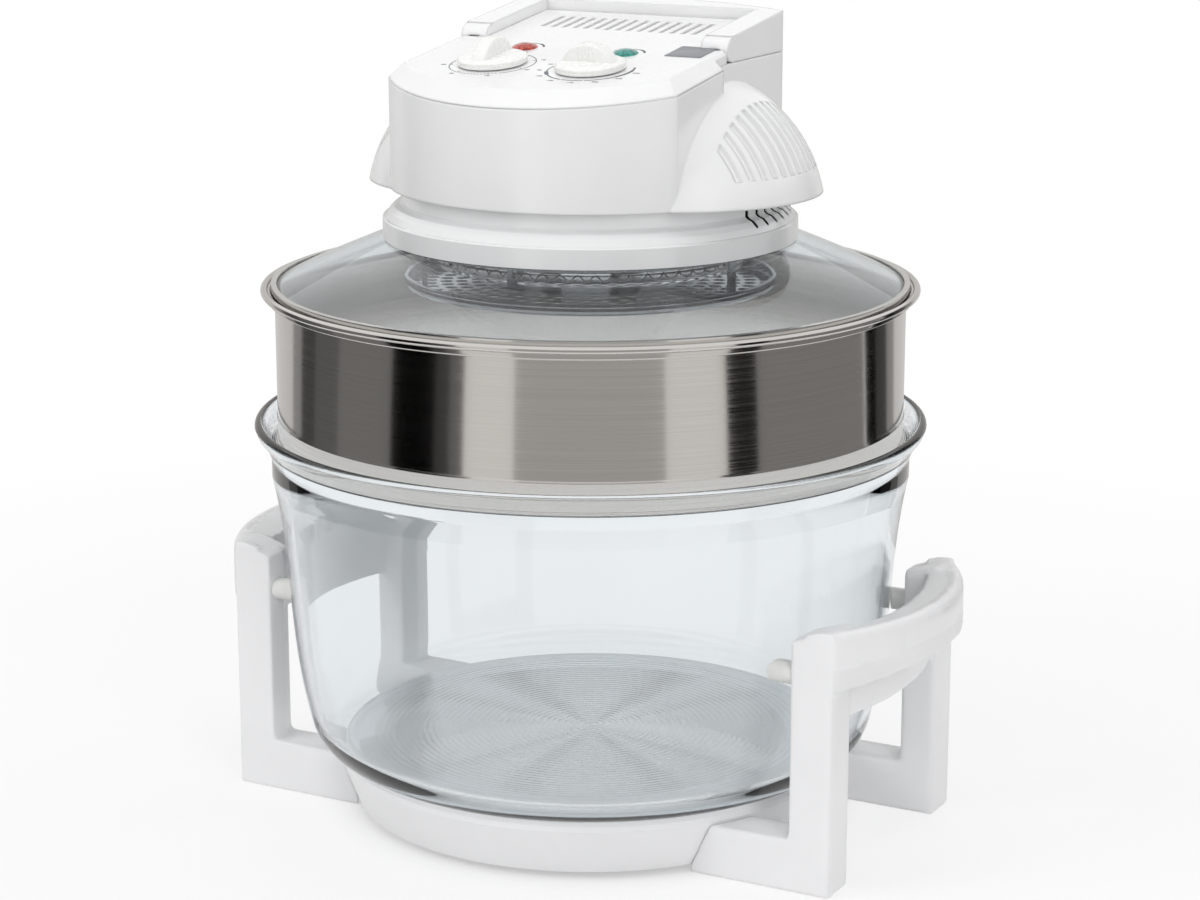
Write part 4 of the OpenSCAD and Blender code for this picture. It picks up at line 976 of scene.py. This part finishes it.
@dataclass(frozen=True)
class Panel:
    """The sloping control panel's own frame, in which its top is the plane Z = 0."""

    height: float = 383.738
    tilt: float = 7.8

    def at(self, x: float, y: float) -> Matrix:
        """The frame at a place on the panel.

        Args:
            x: Its place across, in millimetres.
            y: Its place from front to back, in millimetres.

        Returns:
            The matrix from the panel's frame to the object's.
        """
        slope = math.radians(self.tilt)
        lift = self.height + y * math.tan(slope)
        return Matrix.Translation((x * MM, y * MM, lift * MM)) @ Matrix.Rotation(slope, 4, "X")


PANEL = Panel()


@dataclass
class Stand:
    """The white stand: base ring, two moulded handles, screws and pads."""

    body: str = "stand"
    voxel: float = 1.5
    passes: int = 10
    nodes: dict[str, tuple[str, ...]] = field(default_factory=lambda: {
        "stand_plastic": ("base_ring",),
        "screw_steel": ("handle_screws", "pad_screws"),
        "pad_rubber": ("bumper_pads",),
    })

    def build(self) -> None:
        """Softens both moulded handles and dresses the rest."""
        dress_nodes(self.nodes)
        for node, name in (("left_handle", "left_grip"), ("right_handle", "right_grip")):
            grip = Bench.soften(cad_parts[node], self.voxel, self.passes)
            Bench.finish(grip, name, self.body, "stand_plastic", 50.0)
            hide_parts(node)


@dataclass
class GlassBowl:
    """The pressed glass bowl, turned finely so that it bends light without facets."""

    foot_z: float = 31.2
    foot_r: float = 122.0
    heel_r: float = 142.5
    belly_r: float = 151.0
    neck_r: float = 158.5
    heel_z: float = 50.0
    neck_z: float = 173.0
    wall: float = 5.0
    floor: float = 5.8
    floor_rings: int = 34
    ripple: float = 0.12
    steps: int = 288
    bow_even: float = 0.57
    bow_late: float = 0.43
    side_steps: int = 24
    heel_sweep: float = 78.0
    heel_steps: int = 14
    bead_mid_r: float = 164.0
    bead_z: float = 198.0
    bead_r: float = 2.5
    bead_step: int = 12
    flare: tuple[Pair, ...] = (
        (158.5, 172.9), (158.5, 182.8), (161.3, 190.0), (165.0, 194.5), (166.5, 198.0),
    )
    ledge: tuple[Pair, ...] = (
        (161.5, 198.0), (157.6, 191.0), (157.2, 189.7),
        (154.1, 189.7), (153.5, 188.9), (153.5, 172.9),
    )
    under_inset: float = 6.0
    floor_inset: float = 9.0
    rings_inset: float = 12.0

    def side_r(self, z: float) -> float:
        """The outside radius of the bowl's side at a height."""
        t = (2 * z - self.heel_z - self.neck_z) / (self.neck_z - self.heel_z)
        spread = self.neck_r - self.heel_r
        return (
            self.belly_r
            + self.bow_even * spread / 2 * t
            + ((self.neck_r + self.heel_r) / 2 - self.belly_r) * t * t
            + self.bow_late * spread / 2 * t**3
        )

    def side(self, inset: float) -> Section:
        """The side's section, set in from the outside."""
        count = self.side_steps
        heights = [self.heel_z + (self.neck_z - self.heel_z) * i / count for i in range(count + 1)]
        return [(self.side_r(z) - inset, z) for z in heights]

    def heel(self, inset: float, low: float) -> Section:
        """The rounded heel's section, from the foot up to the side."""
        points = []
        whole = math.radians(self.heel_sweep)
        for step in range(self.heel_steps):
            turn = math.radians(self.heel_sweep * step / self.heel_steps)
            out = (self.heel_r - self.foot_r) * math.sin(turn) / math.sin(whole)
            rise = (self.heel_z - low) * (1 - math.cos(turn)) / (1 - math.cos(whole))
            points.append((self.foot_r - inset + out, low + rise))
        return points

    def section(self) -> Section:
        """The whole section, from the underside's middle round to the floor's middle."""
        top = self.foot_z + self.floor
        turns = [math.radians(angle) for angle in range(0, 181, self.bead_step)]
        rim = [
            (self.bead_mid_r + self.bead_r * math.cos(t), self.bead_z + self.bead_r * math.sin(t))
            for t in turns
        ]
        flare = fillet(self.flare, {1: 5.0, 2: 4.0, 3: 2.0}, 4)[1:-1]
        ledge = fillet(self.ledge, {1: 1.0, 2: 0.5, 3: 0.5}, 3)[1:-1]
        inner = list(reversed(self.side(self.wall))) + list(reversed(self.heel(self.wall, top)))
        rings: Section = []
        reach = self.foot_r - self.rings_inset
        count = self.floor_rings * 4
        for index in range(count, 0, -1):
            radius = reach * index / count
            lift = self.ripple * (0.5 - 0.5 * math.cos(math.pi * index / 2))
            rings.append((radius, top + lift))
        return (
            [(0.0, self.foot_z), (self.foot_r - self.under_inset, self.foot_z)]
            + self.heel(0.0, self.foot_z) + self.side(0.0) + flare + rim + ledge + inner
            + [(self.foot_r - self.floor_inset, top)] + rings + [(0.0, top)]
        )

    def build(self) -> None:
        """Turns the bowl and puts it in its node's place."""
        bowl = Bench.turned(self.section(), self.steps)
        Bench.finish(bowl, "bowl", "bowl", "bowl_glass", 50.0)
        bowl.visible_shadow = False
        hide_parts("glass_bowl")


@dataclass
class ExtensionRing:
    """The steel ring: a rolled sheet wall with a bead, a ledge and a rolled rim."""

    wall_r: float = 155.0
    sheet: float = 0.8
    low: float = 190.0
    ledge: float = 260.6
    top: float = 267.3
    rim_r: float = 161.9
    roll_r: float = 1.8
    bead_z: float = 203.4
    bead_half: float = 1.1
    bead_out: float = 0.55
    curl_r: float = 1.3
    curl_out: float = 0.1
    foot_lift: float = 1.4
    steps: int = 256

    def build(self) -> None:
        """Turns the ring from its wall, its curled foot and its rolled rim."""
        inner = self.wall_r - self.sheet
        upstand = self.rim_r - 2 * self.roll_r
        foot = self.low + self.foot_lift
        wall = fillet([
            (inner, foot), (self.wall_r, foot), (self.wall_r, self.bead_z - self.bead_half),
            (self.wall_r + self.bead_out, self.bead_z), (self.wall_r, self.bead_z + self.bead_half),
            (self.wall_r, self.ledge), (upstand, self.ledge),
            (upstand, self.top - self.roll_r), (upstand - self.sheet, self.top - self.roll_r),
            (upstand - self.sheet, self.ledge + self.sheet), (inner, self.ledge + self.sheet),
        ], {2: 0.5, 3: 0.5, 4: 0.5, 5: 0.8, 6: 0.8, 9: 0.3, 10: 1.2}, 3)
        sheet = Bench.turned(wall, self.steps)
        curl_r = self.curl_r
        curl = Bench.turned(
            self.circle(self.wall_r + self.curl_out, self.low + curl_r, curl_r), self.steps)
        rim = Bench.turned(
            self.circle(self.rim_r - self.roll_r, self.top - self.roll_r, self.roll_r), self.steps)
        ring = Bench.join([sheet, curl, rim])
        Bench.finish(ring, "steel_ring", "ring", "ring_steel", 40.0)
        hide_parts("extension_ring")

    @staticmethod
    def circle(radius: float, height: float, minor: float, count: int = 16) -> Section:
        """A round section for a bead or a rolled edge."""
        turns = [2 * math.pi * index / count for index in range(count)]
        return [(radius + minor * math.cos(t), height + minor * math.sin(t)) for t in turns]


@dataclass
class Lid:
    """The glass lid with its band, and the collar that stands on it."""

    edge_r: float = 155.4
    edge_z: float = 267.2
    low_z: float = 262.2
    hole_r: float = 90.0
    rise: float = 28.0
    drop: float = 5.4
    crown: float = 0.06
    edge_t: float = 2.0
    edge_round: float = 1.5
    dome_steps: int = 26
    steps: int = 256
    nodes: dict[str, tuple[str, ...]] = field(default_factory=lambda: {
        "band_steel": ("lid_band",),
        "seal_rubber": ("lid_gasket",),
        # The clamp ring shares the guards' metal, darkened as painted reflection.
        "guard_steel": ("clamp_ring",),
        "collar_plastic": ("collar",),
    })

    def dome_z(self, radius: float) -> float:
        """The height of the glass's upper face at a radius."""
        share = (self.edge_r - radius) / (self.edge_r - self.hole_r)
        return self.edge_z + self.rise * (share + self.crown * share * (1 - share))

    def build(self) -> None:
        """Turns the glass and dresses the rest of the lid."""
        dress_nodes(self.nodes)
        count = self.dome_steps
        radii = [self.edge_r + (self.hole_r - self.edge_r) * i / count for i in range(count + 1)]
        upper = [(r, self.dome_z(r)) for r in radii]
        lower = [(r, self.dome_z(r) - self.drop) for r in reversed(radii[1:])]
        foot = (self.edge_r - self.edge_t, self.low_z)
        points = [(self.edge_r, self.low_z), *upper, *lower, foot]
        rounds = {count + 1: self.edge_round, count + 2: self.edge_round}
        glass = Bench.turned(fillet(points, rounds, 4), self.steps)
        Bench.finish(glass, "lid_dome", "lid", "lid_glass", 50.0)
        glass.visible_shadow = False
        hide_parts("lid_glass")


@dataclass
class Head:
    """The white head with its panel, lenses, dials and carry handle."""

    nodes: dict[str, tuple[str, ...]] = field(default_factory=lambda: {
        "head_plastic": ("lower_housing", "top_cover", "carry_handle"),
        "screw_steel": (
            "handle_pins", "timer_spindle", "thermostat_spindle", "cover_screws",
            "collar_screws",
        ),
        "red_lens": ("power_lens",),
        "green_lens": ("heat_lens",),
        "glow_lamp": ("power_lamp", "heat_lamp"),
        "unit_plastic": ("timer_unit", "thermostat_unit"),
        "dark_plastic": ("safety_switch", "switch_plunger", "cord_inlet"),
        "knob_plastic": ("timer_knob", "thermostat_knob"),
        "ceramic": ("terminal_block", "thermal_fuse"),
    })

    def build(self) -> None:
        """Dresses the head."""
        dress_nodes(self.nodes)


@dataclass
class Knob:
    """A dial knob: a turned skirt with fine flutes and a half-round fin to turn it by."""

    name: str
    node: str
    body: str
    x: float
    turn: float
    y: float = -48.0
    skirt_r: float = 17.0
    fin_r: float = 14.8
    fin_t: float = 7.6
    height: float = 13.0
    low: float = 0.6
    pole_r: float = 0.05
    fin_low: float = 2.0
    fin_round: float = 1.1
    flutes: int = 96
    flute: Point = (0.5, 0.55, 2.2)
    flute_inset: float = 0.25
    ribs: int = 5
    rib: Point = (0.5, 0.5, 6.2)
    rib_pitch: float = 1.9
    rib_z: float = 7.9

    def build(self) -> None:
        """Makes the knob and puts it in its node's place."""
        skirt = Bench.turned(fillet(
            [(self.pole_r, self.low), (self.skirt_r - 0.6, self.low), (self.skirt_r, 1.2),
             (self.skirt_r - 0.7, 3.6), (self.skirt_r - 4.0, 4.6), (self.pole_r, 4.9)],
            {2: 0.5, 3: 0.9, 4: 2.0}, 3), self.flutes)
        fin = self.make_fin()
        parts = [skirt, fin, *self.make_flutes(), *self.make_ribs()]
        knob = Bench.join(parts)
        turn = Matrix.Rotation(math.radians(self.turn), 4, "Z")
        Bench.move(knob, PANEL.at(self.x, self.y) @ turn)
        Bench.finish(knob, self.name, self.body, "knob_plastic", 32.0)
        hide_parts(self.node)

    def make_fin(self) -> bpy.types.Object:
        """The fin: a disc on edge, cut off at the skirt, with its rim rounded."""
        Bench.clear()
        bpy.ops.mesh.primitive_cylinder_add(
            vertices=72, radius=self.fin_r * MM, depth=self.fin_t * MM)
        fin = bpy.context.active_object
        fin.rotation_euler = (math.pi / 2, 0.0, 0.0)
        fin.location = (0.0, 0.0, (self.height - self.fin_r) * MM)
        Bench.settle()
        Bench.edit()
        bpy.ops.mesh.bisect(
            plane_co=(0, 0, self.fin_low * MM), plane_no=(0, 0, 1), use_fill=True, clear_inner=True)
        bpy.ops.mesh.select_all(action="DESELECT")
        bpy.ops.object.mode_set(mode="OBJECT")
        for edge in fin.data.edges:
            ends = [fin.data.vertices[i].co for i in edge.vertices]
            same_side = abs(ends[0].y - ends[1].y) < 1e-6
            edge.select = same_side and max(end.z for end in ends) > (self.fin_low + 0.05) * MM
        bpy.ops.object.mode_set(mode="EDIT")
        bpy.ops.mesh.select_mode(type="EDGE")
        bpy.ops.mesh.bevel(offset=self.fin_round * MM, segments=3, affect="EDGES")
        bpy.ops.mesh.select_mode(type="VERT")
        bpy.ops.object.mode_set(mode="OBJECT")
        return fin

    def make_flutes(self) -> list[bpy.types.Object]:
        """Fine upright flutes round the skirt's edge."""
        place = (self.skirt_r - self.flute_inset, 0.0, self.flute[2])
        first = Bench.block(self.flute, place, 0.18, 1)
        flutes = [first]
        for index in range(1, self.flutes):
            turn = Matrix.Rotation(2 * math.pi * index / self.flutes, 4, "Z")
            flutes.append(Bench.copy(first, turn))
        return flutes

    def make_ribs(self) -> list[bpy.types.Object]:
        """Thin ribs on both sides of the fin, near its middle, for the fingertips."""
        ribs = []
        for side in (-1.0, 1.0):
            for step in range(self.ribs):
                at = (step - self.ribs // 2) * self.rib_pitch
                ribs.append(Bench.block(self.rib, (at, side * self.fin_t / 2, self.rib_z), 0.15, 1))
        return ribs


@dataclass
class PanelPrint:
    """What is printed on the panel: two scales with plain numbers, and an arc by each lens."""

    dial_x: float = 26.5
    dial_y: float = -48.0
    ring_r: float = 20.8
    mark_x: float = 27.5
    mark_y: float = -16.0
    mark_arcs: tuple[tuple[float, ...], ...] = ((9.3, 0.55, 20.0, 130.0), (9.4, 1.1, 24.0, 40.0))
    timer_arcs: tuple[Point, ...] = ((0.45, -52.0, 130.0), (0.45, 150.0, 78.0))
    dots: int = 16
    dot_start: float = 231.0
    dot_pitch: float = 4.8
    minutes_start: float = 78.0
    minutes_pitch: float = 48.0
    heat_arcs: tuple[Point, ...] = (
        (0.5, 168.0, 34.0), (1.9, 203.0, 17.0), (0.8, 222.0, 34.0), (0.8, 258.0, 30.0),
        (0.8, 290.0, 26.0), (1.0, 316.0, 16.0), (1.6, 332.0, 38.0), (1.0, 10.0, 14.0),
    )
    heats: tuple[int, ...] = (65, 90, 120, 150, 175, 205, 230, 250)
    heat_start: float = 168.0
    heat_pitch: float = 27.0
    slot: str = "print_ink"

    def build(self) -> None:
        """Makes the prints."""
        self.settle("timer_scale", self.timer_scale(), -self.dial_x, self.dial_y)
        self.settle("heat_scale", self.heat_scale(), self.dial_x, self.dial_y)
        for name, x in (("power_mark", -self.mark_x), ("heat_mark", self.mark_x)):
            self.settle(name, [Bench.arc(*arc) for arc in self.mark_arcs], x, self.mark_y)

    def settle(self, name: str, parts: list[bpy.types.Object], x: float, y: float) -> None:
        """Joins a print's parts and lays them on the panel.

        Args:
            name: The print's name.
            parts: Its parts, round the origin.
            x: Its place across the panel.
            y: Its place from front to back.
        """
        print_piece = Bench.join(parts)
        Bench.move(print_piece, PANEL.at(x, y) @ Matrix.Translation((0, 0, INK_LIFT * MM)))
        Bench.finish(print_piece, name, "lid", self.slot)

    def number(self, text: str, angle: float, radius: float, size: float = 1.9) -> bpy.types.Object:
        """A number at an angle on a scale, upright to the reader.

        Args:
            text: The number.
            angle: Its angle in degrees, counted from +X.
            radius: Its distance from the dial's middle.
            size: Its height.

        Returns:
            The number's object.
        """
        piece = Bench.numeral(text, size)
        turn = math.radians(angle)
        place = (radius * math.cos(turn) * MM, radius * math.sin(turn) * MM, 0)
        Bench.move(piece, Matrix.Translation(place))
        return piece

    def timer_scale(self) -> list[bpy.types.Object]:
        """A thin ring with a dotted front, longer marks and minutes from 0 to 60."""
        parts = [Bench.arc(self.ring_r, *arc) for arc in self.timer_arcs]
        for step in range(self.dots):
            parts.append(Bench.arc(self.ring_r, 0.6, self.dot_start + step * self.dot_pitch, 2.2))
        for index in range(7):
            angle = self.minutes_start - index * self.minutes_pitch
            parts.append(self.number(str(index * 10), angle, self.ring_r + 3.2))
            parts.append(Bench.arc(self.ring_r - 0.9, 1.2, angle - 0.7, 1.4))
        return parts

    def heat_scale(self) -> list[bpy.types.Object]:
        """A ring that swells to a dark wedge at the left and a crescent at the right."""
        parts = [Bench.arc(self.ring_r, *arc) for arc in self.heat_arcs]
        for index, degrees in enumerate(self.heats):
            angle = self.heat_start + index * self.heat_pitch
            parts.append(self.number(str(degrees), angle, self.ring_r + 4.0, 1.7))
        return parts


@dataclass
class RatingPlate:
    """The small silver plate on the panel, left plain inside its pressed border."""

    x: float = 58.0
    y: float = -6.5
    width: float = 19.0
    depth: float = 19.0
    thick: float = 0.35
    border: float = 0.5
    border_inset: float = 1.8
    bars: int = 4
    bar_pitch: float = 3.0

    def build(self) -> None:
        """Makes the plate."""
        size = (self.width, self.depth, self.thick)
        plate = Bench.block(size, (0, 0, self.thick / 2 + 0.02), 0.12, 2)
        across = (self.width - 3.0, self.border, 0.14)
        along = (self.border, self.depth - 4.1, 0.14)
        at_y, at_x = self.depth / 2 - self.border_inset, self.width / 2 - self.border_inset
        rim = [Bench.block(across, (0, side * at_y, self.thick), 0.05, 1) for side in (-1, 1)]
        rim += [Bench.block(along, (side * at_x, 0, self.thick), 0.05, 1) for side in (-1, 1)]
        bar = (self.width - 7.0, 0.9, 0.12)
        for row in range(self.bars):
            rim.append(Bench.block(bar, (0, row * self.bar_pitch - 4.5, self.thick), 0.04, 1))
        piece = Bench.join([plate, *rim])
        Bench.move(piece, PANEL.at(self.x, self.y))
        Bench.finish(piece, "rating_plate", "lid", "plate_foil")


@dataclass
class Heater:
    """The lamp ring between its perforated guards."""

    nodes: dict[str, tuple[str, ...]] = field(default_factory=lambda: {
        # Painted reflection: the shield, grille and guards are dark metal standing for the dark
        # surroundings they mirror.
        "dark_reflection_steel": ("heat_shield", "upper_grille"),
        "insulation": ("insulation_disc",),
        "guard_steel": ("guard_dish", "guard_straps", "tube_clips"),
        "quartz": ("halogen_tube",),
        "tungsten": ("filament",),
        "ceramic": ("lamp_ends",),
    })

    def build(self) -> None:
        """Dresses the heater."""
        dress_nodes(self.nodes)


@dataclass
class FanMotor:
    """The motor on its bridge, with both fans."""

    nodes: dict[str, tuple[str, ...]] = field(default_factory=lambda: {
        "stack_iron": ("motor_stator", "rotor"),
        "coil_copper": ("motor_coil",),
        "bracket_steel": ("motor_brackets", "motor_bridge"),
        "bush_bronze": ("motor_bearings",),
        "screw_steel": ("motor_screws", "motor_shaft", "fan_nut"),
        "fan_aluminium": ("cooling_fan", "convection_fan"),
    })

    def build(self) -> None:
        """Dresses the motor and its fans."""
        dress_nodes(self.nodes)


def dress_nodes(nodes: dict[str, tuple[str, ...]]) -> None:
    """Gives carried-over solids their finishes.

    Args:
        nodes: The nodes of each finish.
    """
    for slot, names in nodes.items():
        for node in names:
            PALETTE.dress(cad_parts[node], slot)
            LOG.info("dressed %s in %s", node, slot)


def main() -> None:
    """Builds the studio and every sub-assembly in order."""
    logging.basicConfig(level=logging.INFO, format="%(name)s: %(message)s")
    bpy.context.scene.view_settings.view_transform = "Standard"
    Studio().build()
    parts = (
        Stand(), GlassBowl(), ExtensionRing(), Lid(), Head(), Heater(), FanMotor(),
        Knob("timer_grip", "timer_knob", "timer", -26.5, 90.0),
        Knob("heat_grip", "thermostat_knob", "thermostat", 26.5, 0.0),
        PanelPrint(), RatingPlate(),
    )
    for part in parts:
        LOG.info("building %s", type(part).__name__)
        part.build()


if __name__ == "__main__":
    main()
